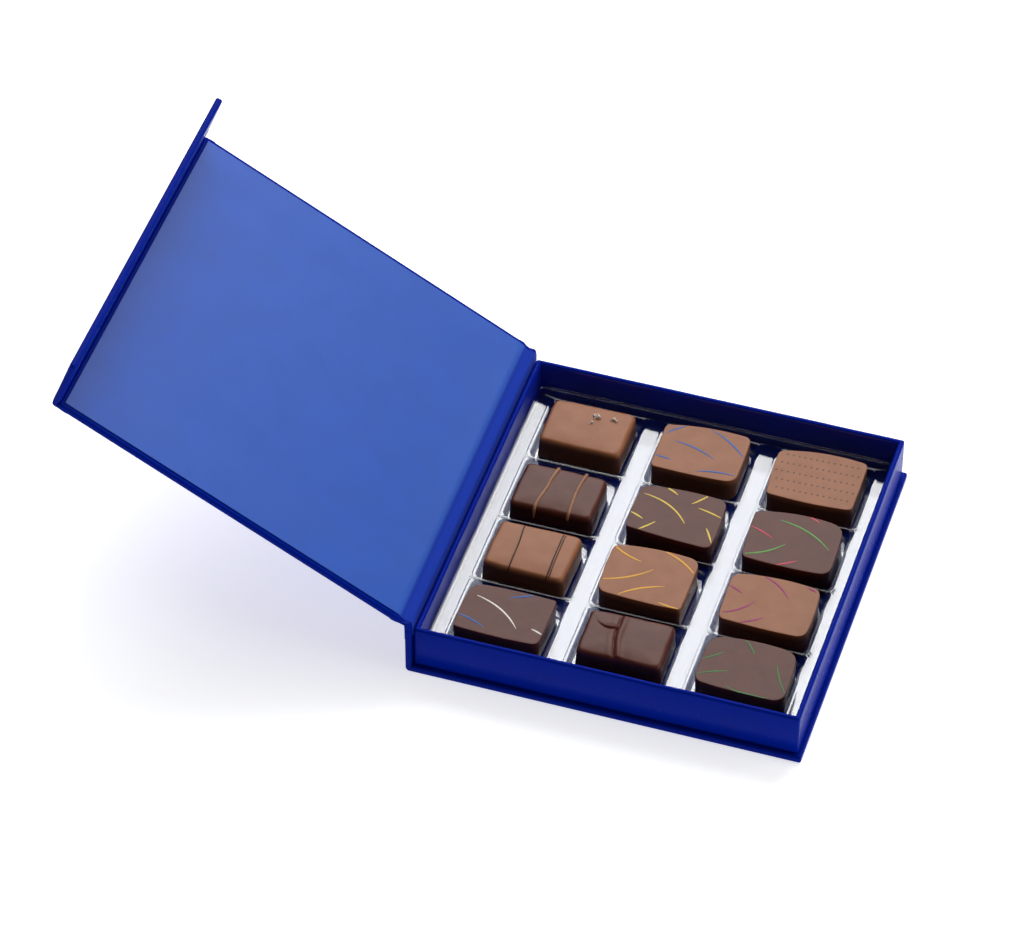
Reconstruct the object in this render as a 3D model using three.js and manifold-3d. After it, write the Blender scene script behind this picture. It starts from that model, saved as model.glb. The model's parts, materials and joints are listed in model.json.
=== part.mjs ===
// A flat book-style gift box with twelve chocolate pralines in a clear insert, lid standing open.
// Millimetres, +Z up. The origin is the middle of the base board's underside.
// +X runs from the hinge to the opening edge, +Y along the hinge towards the back.
import * as THREE from "three";
import { mergeVertices } from "three/addons/utils/BufferGeometryUtils.js";
import Module from "manifold-3d";

const wasm = await Module();
wasm.setup();

// Driving dimensions of the box
const TRAY_X = 135.5; // outside of the tray, hinge side to opening side
const TRAY_Y = 139.0; // outside of the tray, front to back
const WALL_H = 17.1;
const WALL_T = 1.9;
const FLOOR_T = 1.9; // the tray's own bottom board
const BASE_T = 2.8;
const BASE_LIP = 1.5; // how far the base board stands out past the tray
const SPINE_T = 2.3;
const SPINE_GAP = 0.5; // between the spine board and the tray
const BOARD_T = 2.45; // lid and flap boards
const EDGE_R = 0.8; // paper rounds every board edge
const FIT = 0.2; // air between boards that are glued together

// Hinges
const LID_ANGLE = 150.7; // opened this far from closed
const FLAP_ANGLE = 82; // folded this far towards the lid's inside
const KNUCKLE_R = 1.3; // round fold of paper that the lid turns on
const KNUCKLE_INSET = 0.85; // hinge line, in from the spine's outer face
const LID_OVER_WALLS = 0.6; // air between the closed lid and the walls
const LID_DROP = 1.37; // lid's inner face below the hinge line when closed
const FLAP_GAP = 0.4; // closed flap to the base board's edge
const FLAP_LENGTH = 19.9;
const FLAP_HINGE = 1.6; // hinge line of the flap, out and up from the inner corner
const LINER_T = 0.3;
const LINER_INSET = 3.0;
const LINER_AIR = 0.1;

// Clear insert: a thin sheet with one pocket for each praline
const COLUMNS = 3;
const ROWS = 4;
const PITCH_X = 42.1;
const PITCH_Y = 31.05;
const CELLS_MID_X = 68.0; // middle of all the pockets, from the tray's outer corner
const CELLS_MID_Y = 70.4;
const SHEET_T = 0.5;
const SHEET_TOP = 6.4; // above the base board
const SHEET_GAP = 0.35; // to the tray walls
const SHEET_CORNER = 3.0;
const RIM_H = 0.8; // the sheet's outer rim stands up along the walls
const RIM_W = 1.6;
const POCKET_X = 34.0;
const POCKET_Y = 29.6;
const POCKET_CORNER = 3.2;
const POCKET_DRAFT = 0.09; // run over rise of the pocket walls

// Pralines
const PRALINE_X = 31.0;
const PRALINE_Y = 23.4;
const PRALINE_TOP = 12.5; // above the base board
const PRALINE_AIR = 0.2; // to the pocket floor
const SIDE_POINTS = 3; // outline points inside each straight side
const CORNER_POINTS = 4;

const paperBlue = new THREE.MeshStandardMaterial({ color: 0x0a2c9e, roughness: 0.35, metalness: 0 });
const linerBlue = new THREE.MeshStandardMaterial({ color: 0x3f66c4, roughness: 0.3, metalness: 0 });
const clearSheet = new THREE.MeshStandardMaterial({
  color: 0xe6ecf0,
  roughness: 0.08,
  metalness: 0,
  transparent: true,
  opacity: 0.35,
});
const milkChocolate = new THREE.MeshStandardMaterial({ color: 0x8a5539, roughness: 0.45, metalness: 0 });
const darkChocolate = new THREE.MeshStandardMaterial({ color: 0x43282a, roughness: 0.4, metalness: 0 });

// Heights of the pocket floors and of a praline, above the base board
const SHEET_BOTTOM = FIT + FLOOR_T + FIT;
const SHEET_FLOOR = SHEET_BOTTOM + SHEET_T;
const HEIGHT = PRALINE_TOP - SHEET_FLOOR - PRALINE_AIR;

// Heights above the table
const BASE_TOP = BASE_T;
const WALL_TOP = BASE_TOP + WALL_H;
const BASE_LEFT = -(SPINE_GAP + SPINE_T);
const BASE_RIGHT = TRAY_X + BASE_LIP;
const MID_X = (BASE_LEFT + BASE_RIGHT) / 2;
const MID_Y = TRAY_Y / 2;
const BOARD_Y = TRAY_Y + 2 * BASE_LIP; // length of base, spine, lid and flap along the hinge
const LID_PLANE = WALL_TOP + LID_OVER_WALLS; // inner face of the closed lid
const HINGE_X = BASE_LEFT + KNUCKLE_INSET - MID_X;
const HINGE_Z = LID_PLANE + LID_DROP;
const FLAP_PLANE = BASE_RIGHT + FLAP_GAP - MID_X; // inner face of the closed flap

// The tray's outer front left corner is (0, 0) in plan; this moves such a place into the part's frame.
const planX = (x) => x - MID_X;
const planY = (y) => y - MID_Y;

function mesh(name, geometry, material) {
  const made = new THREE.Mesh(geometry, material);
  made.name = name;
  return made;
}

function solidOf(geometry) {
  const bare = geometry.clone();
  bare.deleteAttribute("normal");
  bare.deleteAttribute("uv");
  const merged = mergeVertices(bare, 1e-4);
  return new wasm.Manifold(
    new wasm.Mesh({
      numProp: 3,
      vertProperties: new Float32Array(merged.attributes.position.array),
      triVerts: new Uint32Array(merged.index.array),
    }),
  );
}

function geometryOf(solid) {
  const { vertProperties, triVerts } = solid.getMesh();
  const geometry = new THREE.BufferGeometry();
  geometry.setAttribute("position", new THREE.BufferAttribute(new Float32Array(vertProperties), 3));
  geometry.setIndex(new THREE.BufferAttribute(new Uint32Array(triVerts), 1));
  geometry.computeVertexNormals();
  return geometry;
}

// A rectangle with rounded corners as a THREE.Shape, from its lowest to its highest corner
function roundedShape(x0, y0, x1, y1, radius) {
  const shape = new THREE.Shape();
  shape.moveTo(x0 + radius, y0);
  shape.lineTo(x1 - radius, y0);
  shape.absarc(x1 - radius, y0 + radius, radius, -Math.PI / 2, 0);
  shape.lineTo(x1, y1 - radius);
  shape.absarc(x1 - radius, y1 - radius, radius, 0, Math.PI / 2);
  shape.lineTo(x0 + radius, y1);
  shape.absarc(x0 + radius, y1 - radius, radius, Math.PI / 2, Math.PI);
  shape.lineTo(x0, y0 + radius);
  shape.absarc(x0 + radius, y0 + radius, radius, Math.PI, (3 * Math.PI) / 2);
  return shape;
}

// A shape drawn in X and Z, extruded along Y about the middle of the box
function alongY(shape, length) {
  const geometry = new THREE.ExtrudeGeometry(shape, { depth: length, bevelEnabled: false, curveSegments: 3 });
  geometry.rotateX(Math.PI / 2);
  geometry.translate(0, length / 2, 0);
  return geometry;
}

// A board with rounded long edges, given by its corners in X and Z
function board(x0, z0, x1, z1, length) {
  return alongY(roundedShape(x0, z0, x1, z1, EDGE_R), length);
}

// A board that runs along X instead, given by its corners in Y and Z
function boardAlongX(y0, z0, y1, z1, length) {
  const geometry = board(-y1, z0, -y0, z1, length);
  geometry.rotateZ(-Math.PI / 2);
  return geometry;
}

// Closed body through rings of points that run anticlockwise, lowest ring first
function loft(rings) {
  const count = rings[0].length;
  const positions = [];
  const index = [];
  rings.flat().forEach((p) => positions.push(p.x, p.y, p.z));
  for (let k = 0; k < rings.length - 1; k++) {
    for (let i = 0; i < count; i++) {
      const a = k * count + i;
      const b = k * count + ((i + 1) % count);
      index.push(a, b, b + count, a, b + count, a + count);
    }
  }
  [rings[0], rings.at(-1)].forEach((ring, end) => {
    const middle = ring.reduce((sum, p) => sum.add(p), new THREE.Vector3()).divideScalar(count);
    const centre = positions.length / 3;
    positions.push(middle.x, middle.y, middle.z);
    const first = end ? (rings.length - 1) * count : 0;
    for (let i = 0; i < count; i++) {
      const a = first + i;
      const b = first + ((i + 1) % count);
      index.push(centre, end ? a : b, end ? b : a);
    }
  });
  const geometry = new THREE.BufferGeometry();
  geometry.setAttribute("position", new THREE.Float32BufferAttribute(positions, 3));
  geometry.setIndex(index);
  geometry.computeVertexNormals();
  return geometry;
}

// Ring of a rounded rectangle whose sides bow outwards, at one height
function ring(width, depth, corner, bow, z) {
  const a = width / 2;
  const b = depth / 2;
  const r = Math.max(0.3, Math.min(corner, 0.9 * Math.min(a, b)));
  const corners = [
    [a - r, b - r],
    [r - a, b - r],
    [r - a, r - b],
    [a - r, r - b],
  ];
  const points = [];
  corners.forEach(([cx, cy], quarter) => {
    for (let i = 0; i <= CORNER_POINTS; i++) {
      const t = ((quarter + i / CORNER_POINTS) * Math.PI) / 2;
      points.push([cx + r * Math.cos(t), cy + r * Math.sin(t)]);
    }
    const [nx, ny] = corners[(quarter + 1) % 4];
    const t = ((quarter + 1) * Math.PI) / 2;
    const [sx, sy] = [cx + r * Math.cos(t), cy + r * Math.sin(t)];
    const [ex, ey] = [nx + r * Math.cos(t), ny + r * Math.sin(t)];
    for (let i = 1; i <= SIDE_POINTS; i++) {
      const f = i / (SIDE_POINTS + 1);
      points.push([sx + f * (ex - sx), sy + f * (ey - sy)]);
    }
  });
  return points.map(
    ([x, y]) =>
      new THREE.Vector3(
        x + (x / a) * bow * (1 - (y / b) ** 2),
        y + (y / b) * bow * (1 - (x / a) ** 2),
        z,
      ),
  );
}

// A round bead of chocolate along a list of points, with a closed end at each side
function bead(points, radius) {
  const section = new THREE.Shape();
  section.absarc(0, 0, radius, 0, 2 * Math.PI);
  return new THREE.ExtrudeGeometry(section, {
    extrudePath: new THREE.CatmullRomCurve3(points, false, "centripetal"),
    steps: 14,
    curveSegments: 8,
    bevelEnabled: false,
  });
}

// Coated in liquid chocolate: soft edges, a slight foot and a slightly crowned top
function coatedPraline({ edge = 1.3, bow = 0.3, corner = 2.2, crown = 0.25 } = {}) {
  const rings = [
    ring(PRALINE_X - 0.6, PRALINE_Y - 0.6, corner, bow, 0),
    ring(PRALINE_X + 0.3, PRALINE_Y + 0.3, corner, bow, 0.5),
    ring(PRALINE_X, PRALINE_Y, corner, bow, 1.6),
    ring(PRALINE_X - 0.3, PRALINE_Y - 0.3, corner, bow, HEIGHT - edge),
  ];
  for (let i = 1; i <= 3; i++) {
    const t = (i / 3) * (Math.PI / 2);
    const inset = 0.3 + 2 * edge * (1 - Math.cos(t));
    const z = HEIGHT - edge * (1 - Math.sin(t));
    rings.push(ring(PRALINE_X - inset, PRALINE_Y - inset, corner, bow, z));
  }
  rings.push(ring(PRALINE_X * 0.55, PRALINE_Y * 0.55, corner, bow, HEIGHT + crown));
  return loft(rings);
}

// Pressed flat on top, so that the top edge is crisp
function flatPraline({ bow = 0.5, corner = 3.2 } = {}) {
  return loft([
    ring(PRALINE_X - 0.5, PRALINE_Y - 0.5, corner, bow, 0),
    ring(PRALINE_X + 0.3, PRALINE_Y + 0.3, corner, bow, 0.5),
    ring(PRALINE_X, PRALINE_Y, corner, bow, 1.6),
    ring(PRALINE_X - 0.1, PRALINE_Y - 0.1, corner, bow, HEIGHT - 0.5),
    ring(PRALINE_X - 0.4, PRALINE_Y - 0.2, corner, bow, HEIGHT),
  ]);
}

// Route of a piped line: over the top from back to front and down the front side
function pipedRoute(backX, frontX, drop) {
  const b = PRALINE_Y / 2;
  const at = (f) => backX + f * (frontX - backX);
  return [
    new THREE.Vector3(at(0), b - 0.7, HEIGHT - 0.5),
    new THREE.Vector3(at(0.1), b - 2.2, HEIGHT),
    new THREE.Vector3(at(0.5), 0, HEIGHT + 0.2),
    new THREE.Vector3(at(0.9), 2.2 - b, HEIGHT),
    new THREE.Vector3(at(0.97), 0.7 - b, HEIGHT - 0.5),
    new THREE.Vector3(at(1), 0.1 - b, HEIGHT - 1.8),
    new THREE.Vector3(at(1), 0 - b, HEIGHT - drop),
  ];
}

function withBeads(body, routes, radius) {
  const joined = routes.reduce((solid, route) => solid.add(solidOf(bead(route, radius))), solidOf(body));
  return geometryOf(joined);
}

function saltedPraline() {
  const crystals = [
    [1.8, 5.1, 1.0],
    [0.8, 1.4, 0.8],
    [8.7, 5.2, 0.8],
    [3.0, 3.6, 0.6],
  ];
  const solid = crystals.reduce((sum, [x, y, size], i) => {
    const crystal = new THREE.OctahedronGeometry(size);
    crystal.rotateX(0.5 + i);
    crystal.rotateZ(0.9 * i);
    crystal.translate(x, y, HEIGHT + 0.35);
    return sum.add(solidOf(crystal));
  }, solidOf(coatedPraline()));
  return geometryOf(solid);
}

// One maker for each praline, row 1 at the back and column 1 at the hinge, with its small shift and turn
const PRALINES = [
  { row: 1, column: 1, make: saltedPraline, material: milkChocolate, shift: [-0.2, -0.9], turn: -0.6 },
  { row: 1, column: 2, make: flatPraline, material: milkChocolate, shift: [-0.2, -0.9], turn: 0.3 },
  { row: 1, column: 3, make: flatPraline, material: milkChocolate, shift: [0.0, -1.3], turn: 1.6 },
  {
    row: 2,
    column: 1,
    make: () => withBeads(coatedPraline(), [pipedRoute(-3.1, -4.8, 6.5), pipedRoute(7.6, 8.4, 6.0)], 0.55),
    material: darkChocolate,
    shift: [-0.4, -2.0],
    turn: 0.4,
  },
  { row: 2, column: 2, make: flatPraline, material: darkChocolate, shift: [0.0, -2.0], turn: 0.7 },
  { row: 2, column: 3, make: flatPraline, material: darkChocolate, shift: [-0.3, -1.9], turn: 1.0 },
  {
    row: 3,
    column: 1,
    make: () =>
      withBeads(
        coatedPraline(),
        [pipedRoute(-2.8, -5.0, 3.6), pipedRoute(11.2, 10.0, 3.4), pipedRoute(12.0, 10.7, 3.2)],
        0.3,
      ),
    material: milkChocolate,
    shift: [-0.5, -2.0],
    turn: -1.2,
  },
  { row: 3, column: 2, make: flatPraline, material: milkChocolate, shift: [-0.3, -1.5], turn: 0.9 },
  { row: 3, column: 3, make: flatPraline, material: milkChocolate, shift: [0.0, -1.9], turn: 1.4 },
  { row: 4, column: 1, make: flatPraline, material: darkChocolate, shift: [0.0, -1.9], turn: -0.3 },
  {
    row: 4,
    column: 2,
    make: () =>
      withBeads(
        coatedPraline(),
        [
          [
            new THREE.Vector3(-3.9, 10.4, HEIGHT - 0.9),
            new THREE.Vector3(-3.7, 6, HEIGHT - 0.75),
            new THREE.Vector3(-2.6, -3, HEIGHT - 0.75),
            new THREE.Vector3(-2.2, -9.8, HEIGHT - 1.1),
          ],
        ],
        1.1,
      ),
    material: darkChocolate,
    shift: [0.2, -1.1],
    turn: 0.6,
  },
  { row: 4, column: 3, make: flatPraline, material: darkChocolate, shift: [0.2, -1.5], turn: 1.0 },
];

const cellX = (column) => planX(CELLS_MID_X + (column - (COLUMNS + 1) / 2) * PITCH_X);
const cellY = (row) => planY(CELLS_MID_Y + ((ROWS + 1) / 2 - row) * PITCH_Y);

// Everything that stays on the table
function base() {
  return mesh("base_board", board(BASE_LEFT - MID_X, 0, BASE_RIGHT - MID_X, BASE_T, BOARD_Y), paperBlue);
}

function spine() {
  const top = HINGE_Z - KNUCKLE_R - 0.3;
  const shape = board(BASE_LEFT - MID_X, BASE_TOP + FIT, planX(-SPINE_GAP), top, BOARD_Y);
  return mesh("spine_board", shape, paperBlue);
}

function trayWalls() {
  const z0 = BASE_TOP + FIT;
  const sideLength = TRAY_Y - 2 * (WALL_T + FIT);
  const left = board(planX(0), z0, planX(WALL_T), WALL_TOP, sideLength);
  const right = board(planX(TRAY_X - WALL_T), z0, planX(TRAY_X), WALL_TOP, sideLength);
  const front = boardAlongX(planY(0), z0, planY(WALL_T), WALL_TOP, TRAY_X);
  const back = boardAlongX(planY(TRAY_Y - WALL_T), z0, planY(TRAY_Y), WALL_TOP, TRAY_X);
  [front, back].forEach((wall) => wall.translate(planX(TRAY_X / 2), 0, 0));
  return [
    mesh("wall_left", left, paperBlue),
    mesh("wall_right", right, paperBlue),
    mesh("wall_front", front, paperBlue),
    mesh("wall_back", back, paperBlue),
  ];
}

function trayFloor() {
  const edge = WALL_T + FIT;
  const z0 = BASE_TOP + FIT;
  const length = TRAY_Y - 2 * edge;
  return mesh("tray_floor", board(planX(edge), z0, planX(TRAY_X - edge), z0 + FLOOR_T, length), paperBlue);
}

function pocketSolid(row, column, grow, z0, z1) {
  const side = (z) => 2 * grow - 2 * POCKET_DRAFT * (SHEET_TOP - z);
  const rings = [z0, z1].map((z) =>
    ring(POCKET_X + side(z), POCKET_Y + side(z), POCKET_CORNER + grow, 0, BASE_TOP + z),
  );
  const geometry = loft(rings);
  geometry.translate(cellX(column), cellY(row), 0);
  return solidOf(geometry);
}

function insert() {
  const inside = (outer) => outer - 2 * (WALL_T + SHEET_GAP);
  const sheetRing = (z, inset) =>
    ring(inside(TRAY_X) - 2 * inset, inside(TRAY_Y) - 2 * inset, SHEET_CORNER, 0, BASE_TOP + z);
  const blank = loft([sheetRing(SHEET_TOP - SHEET_T, 0), sheetRing(SHEET_TOP + RIM_H, 0)]);
  const hollowOfRim = loft([sheetRing(SHEET_TOP, RIM_W), sheetRing(SHEET_TOP + RIM_H + 0.1, SHEET_T)]);
  const sheet = geometryOf(solidOf(blank).subtract(solidOf(hollowOfRim)));
  sheet.translate(planX(TRAY_X / 2), 0, 0);
  const cells = [];
  for (let row = 1; row <= ROWS; row++) {
    for (let column = 1; column <= COLUMNS; column++) cells.push([row, column]);
  }
  const cups = cells.reduce(
    (sum, [row, column]) => sum.add(pocketSolid(row, column, SHEET_T, SHEET_BOTTOM, SHEET_TOP - 0.01)),
    solidOf(sheet),
  );
  const hollow = cells.reduce(
    (sum, [row, column]) => sum.subtract(pocketSolid(row, column, 0, SHEET_FLOOR, SHEET_TOP + 1)),
    cups,
  );
  return mesh("clear_insert", geometryOf(hollow), clearSheet);
}

function pralines() {
  return PRALINES.map(({ row, column, make, material, shift, turn }) => {
    const made = mesh("praline_r" + row + "_c" + column, make(), material);
    made.rotation.z = THREE.MathUtils.degToRad(turn);
    made.position.set(
      cellX(column) + shift[0],
      cellY(row) + shift[1],
      BASE_TOP + SHEET_FLOOR + PRALINE_AIR,
    );
    return made;
  });
}

// The lid and its flap are drawn as if closed, about the hinge line, and then swung open.
function lid() {
  const reach = FLAP_PLANE - HINGE_X; // hinge line to the flap's inner face
  const inner = -LID_DROP;
  const start = 0.2;
  const panel = solidOf(board(start, inner, reach + 0.3, inner + BOARD_T, BOARD_Y));
  const knuckle = new THREE.Shape();
  knuckle.absarc(0, 0, KNUCKLE_R, 0, 2 * Math.PI);
  const roll = solidOf(alongY(knuckle, BOARD_Y));
  const lidBoard = mesh("lid_board", geometryOf(panel.add(roll)), paperBlue);
  const liner = new THREE.BoxGeometry(reach - 2 * LINER_INSET, BOARD_Y - 2 * LINER_INSET, LINER_T);
  liner.translate(LINER_INSET + (reach - 2 * LINER_INSET) / 2, 0, inner - LINER_AIR - LINER_T / 2);
  const swing = new THREE.Group();
  swing.add(lidBoard, mesh("lid_liner", liner, linerBlue), flap(reach, inner));
  swing.position.set(HINGE_X, 0, HINGE_Z);
  swing.rotation.y = -THREE.MathUtils.degToRad(LID_ANGLE);
  return swing;
}

// Drawn hanging straight down from its own hinge line, then unfolded to its resting angle
function flap(reach, inner) {
  const x0 = -FLAP_HINGE;
  const top = -FLAP_HINGE - 0.3;
  const panel = solidOf(board(x0, -FLAP_HINGE - FLAP_LENGTH, x0 + BOARD_T, top, BOARD_Y));
  const knuckle = new THREE.Shape();
  const half = KNUCKLE_R * 0.7;
  knuckle.absarc(0, 0, half, 0, Math.PI);
  knuckle.lineTo(-half, top - EDGE_R);
  knuckle.lineTo(half, top - EDGE_R);
  const web = solidOf(alongY(knuckle, BOARD_Y - 2));
  const made = mesh("flap_board", geometryOf(panel.add(web)), paperBlue);
  const swing = new THREE.Group();
  swing.add(made);
  swing.position.set(reach + FLAP_HINGE, 0, inner + FLAP_HINGE);
  swing.rotation.y = -THREE.MathUtils.degToRad(90 - FLAP_ANGLE);
  return swing;
}

const group = new THREE.Group();
group.add(base(), spine(), trayFloor(), ...trayWalls(), insert(), ...pralines(), lid());
export default group;
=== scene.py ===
# %% [markdown]
# # A gift box of twelve pralines
# The object is a flat book-style gift box covered in glossy royal blue paper. Its lid hangs on a paper
# hinge along the left side and has a closing flap. A clear formed insert holds three columns of four
# pralines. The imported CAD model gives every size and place, so this lesson loads it first and then dresses
# each part with finer shapes and finishes.

# %% Frame and tools
import json
import math

import bmesh
import bpy
from mathutils import Matrix, Vector, noise


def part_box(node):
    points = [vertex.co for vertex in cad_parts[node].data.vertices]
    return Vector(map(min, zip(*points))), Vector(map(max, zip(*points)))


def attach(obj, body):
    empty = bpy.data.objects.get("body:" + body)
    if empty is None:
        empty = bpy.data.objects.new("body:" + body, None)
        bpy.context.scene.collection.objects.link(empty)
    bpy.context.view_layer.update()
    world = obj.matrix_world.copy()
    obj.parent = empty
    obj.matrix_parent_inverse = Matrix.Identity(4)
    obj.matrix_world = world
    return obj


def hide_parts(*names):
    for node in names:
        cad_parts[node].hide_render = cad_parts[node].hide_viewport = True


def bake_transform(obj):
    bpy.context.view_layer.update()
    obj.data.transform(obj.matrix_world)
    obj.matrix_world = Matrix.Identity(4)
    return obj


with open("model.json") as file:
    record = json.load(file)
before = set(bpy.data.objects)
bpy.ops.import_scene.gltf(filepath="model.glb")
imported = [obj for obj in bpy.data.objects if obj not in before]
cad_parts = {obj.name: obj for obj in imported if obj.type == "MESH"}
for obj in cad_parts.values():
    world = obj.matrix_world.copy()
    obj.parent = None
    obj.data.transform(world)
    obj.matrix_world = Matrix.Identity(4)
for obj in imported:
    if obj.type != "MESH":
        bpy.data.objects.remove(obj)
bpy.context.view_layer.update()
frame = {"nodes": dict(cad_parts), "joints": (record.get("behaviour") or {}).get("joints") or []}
MM = 0.001
NOISE_SEED = 5
noise.seed_set(NOISE_SEED)
scene = bpy.context.scene

# %% [markdown]
# ## Two turned frames
# The lid leans back and the flap is folded almost square to it, so their parts are easiest to draw in
# their own flat sections. The section of the lid has u running away from the hinge and v pointing to its
# outer face. The section of the flap has p pointing to its outer face and q running away from its fold.
# The hinge lines and angles come from the joints of the frame, so nothing has to be fitted by eye.

# %% Sections of the lid and flap
hinges = {joint["name"]: joint for joint in frame["joints"]}
LID_HINGE = Vector(hinges["lid_hinge"]["pos_m"])
FLAP_HINGE = Vector(hinges["flap_hinge"]["pos_m"])
LID_OPEN = math.radians(-hinges["lid_hinge"]["range_deg"][0])
FLAP_LEAN = math.radians(hinges["flap_hinge"]["range_deg"][1])
ALONG_LID = Vector((math.cos(LID_OPEN), math.sin(LID_OPEN)))
OUT_OF_LID = Vector((-math.sin(LID_OPEN), math.cos(LID_OPEN)))


def lid_at(u, v):
    """A place in the lid's section, in millimetres, as X and Z of the frame."""
    return Vector((LID_HINGE.x, LID_HINGE.z)) + (ALONG_LID * u + OUT_OF_LID * v) * MM


def flap_at(p, q):
    """A place in the flap's section, in millimetres, as X and Z of the frame."""
    u = p * math.cos(FLAP_LEAN) + q * math.sin(FLAP_LEAN)
    v = p * math.sin(FLAP_LEAN) - q * math.cos(FLAP_LEAN)
    return Vector((FLAP_HINGE.x, FLAP_HINGE.z)) + (ALONG_LID * u + OUT_OF_LID * v) * MM


def box_at(x, z):
    """A place in the section of the box itself, in millimetres."""
    return Vector((x, z)) * MM


lid_reach = (FLAP_HINGE - LID_HINGE).length / MM
print("lid opened by", round(math.degrees(LID_OPEN), 1), "degrees, flap line", round(lid_reach, 1), "mm out")

# %% [markdown]
# ## Finishes in Python
# A finish is a node tree. Written as Python expressions it stays short: `Number` wraps a socket, and
# `1 - mask * 0.2` adds the Math nodes by itself. Every other node comes from `Finish.add`.

# %% Number and Finish


def add_node(tree, kind, settings=None, inputs=None):
    """Adds one node; settings come first, then the values or links of its input sockets."""
    node = tree.nodes.new(kind)
    for key, value in (settings or {}).items():
        setattr(node, key, value)
    for key, value in (inputs or {}).items():
        source = getattr(value, "socket", value)
        if isinstance(source, bpy.types.NodeSocket):
            tree.links.new(source, node.inputs[key])
        else:
            node.inputs[key].default_value = source
    return node


class Number:
    """A number in a node tree, for expressions such as 1 - mask * 0.2."""

    def __init__(self, tree, socket):
        self.tree = tree
        self.socket = socket

    def maths(self, operation, *values):
        node = add_node(self.tree, "ShaderNodeMath", {"operation": operation}, dict(enumerate(values)))
        return Number(self.tree, node.outputs[0])

    def __add__(self, other):
        return self.maths("ADD", self, other)

    def __sub__(self, other):
        return self.maths("SUBTRACT", self, other)

    def __rsub__(self, other):
        return self.maths("SUBTRACT", other, self)

    def __mul__(self, other):
        return self.maths("MULTIPLY", self, other)

    def __pow__(self, other):
        return self.maths("POWER", self, other)

    __radd__ = __add__
    __rmul__ = __mul__


class Finish:
    """A material that starts with its output node and the Object coordinates, in metres."""

    def __init__(self, name):
        self.material = bpy.data.materials.new(name)
        self.material.use_nodes = True
        self.tree = self.material.node_tree
        self.tree.nodes.clear()
        self.output = self.tree.nodes.new("ShaderNodeOutputMaterial")
        self.place = self.tree.nodes.new("ShaderNodeTexCoord").outputs["Object"]

    def add(self, kind, settings=None, inputs=None, output=0):
        node = add_node(self.tree, kind, settings, inputs)
        return Number(self.tree, node.outputs[output])

    def along(self, axis):
        """The place along one axis, in metres."""
        parts = add_node(self.tree, "ShaderNodeSeparateXYZ", inputs={0: self.place})
        return Number(self.tree, parts.outputs[axis])

    def noise(self, size_mm, detail=3):
        """Soft random pattern from 0 to 1 with blotches of about that size."""
        scale = [1 / (size_mm * MM)] * 3
        spread = self.add("ShaderNodeMapping", inputs={"Vector": self.place, "Scale": scale})
        return self.add("ShaderNodeTexNoise", inputs={"Vector": spread, "Scale": 1.0, "Detail": detail})

    def blend(self, mask, first, second):
        """The first colour where mask is 0, the second where it is 1."""
        colours = {"Factor": mask, 6: first, 7: second}
        return self.add("ShaderNodeMix", {"data_type": "RGBA"}, colours, output=2)

    def step(self, value, low, high):
        """0 below low, 1 above high, smooth between."""
        limits = {"Value": value, "From Min": low, "From Max": high}
        return self.add("ShaderNodeMapRange", {"interpolation_type": "SMOOTHSTEP"}, limits)

    def bump(self, height, depth_mm, under=None):
        """A relief of that depth, on top of a finer one if given."""
        inputs = {"Height": height, "Distance": depth_mm * MM}
        if under:
            inputs["Normal"] = under
        return self.add("ShaderNodeBump", inputs=inputs)

    def surface(self, **values):
        """Ends the tree in one Principled shader; underscores stand for spaces in socket names."""
        inputs = {key.replace("_", " "): value for key, value in values.items()}
        shader = self.add("ShaderNodeBsdfPrincipled", inputs=inputs)
        self.tree.links.new(shader.socket, self.output.inputs["Surface"])
        return self.material


def toned(colour, factor, lift=0.0):
    """The same colour, darker or lighter."""
    return tuple(min(factor * value + lift, 1.0) for value in colour[:3]) + (1,)


print("finish tools ready")

# %% [markdown]
# ## The blue paper
# The board is covered in laminated paper: one even deep blue under a smooth clear film. What makes it look
# real is the film. It has a very fine orange peel, and the board under it is a little uneven, so its
# reflections waver. Both go in as bumps of a few microns. The lining has a soft sheen that stops in the
# gutter beside the hinge, where the film is duller and a deeper blue is painted as shade. The inner sides of
# the tray are glossier and mirror the insert, and its floor is the smoothest of all.

# %% Paper finishes
ROYAL_BLUE = (0.0003, 0.014, 0.30, 1)
LINING_BLUE = (0.0004, 0.084, 0.52, 1)
# Painted shade: the deeper blue that the lining turns to in the gutter beside the hinge.
GUTTER_SHADE_BLUE = (0.0003, 0.034, 0.42, 1)
# Painted light: the tray's inner faces get a lighter blue than the cover, as if lit inside the tray.
INNER_PAINTED_LIGHT_BLUE = (0.0004, 0.020, 0.50, 1)
FLOOR_BLUES = (0.0004, 0.010, 0.13, 1), (0.0004, 0.012, 0.17, 1)
CREASE_FROM, CREASE_TO = 3.0 * MM, 5.0 * MM
CREASE_DULLS = 0.65


def laminated_paper(name, blue, roughness, gloss, gutter=None):
    """Blue paper under film. In the gutter beside the hinge it is duller, and a deeper blue is painted there
    as shade.
    """
    paper = Finish(name)
    cloudy = paper.step(paper.noise(14, detail=4), 0.3, 0.7)
    colour = paper.blend(cloudy, toned(blue, 0.93), blue)
    gutter_mask = 0.0
    if gutter:
        x, z = paper.along("X"), paper.along("Z")
        out = (x - LID_HINGE.x) * ALONG_LID.x + (z - LID_HINGE.z) * ALONG_LID.y
        # Mask of the gutter beside the hinge: there the film gets duller and the painted shade colour comes
        # in.
        gutter_mask = 1 - paper.step(out, CREASE_FROM, CREASE_TO)
        colour = paper.blend(gutter_mask, colour, gutter)
    peel = paper.bump(paper.noise(1.1, detail=2), 0.006)
    relief = paper.bump(paper.noise(22, detail=1), 0.05, peel)
    film = paper.noise(6, detail=2) * 0.05 + gutter_mask * CREASE_DULLS + roughness
    return paper.surface(
        Base_Color=colour, Roughness=film, IOR=1.5, Specular_IOR_Level=gloss, Normal=relief
    )


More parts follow.
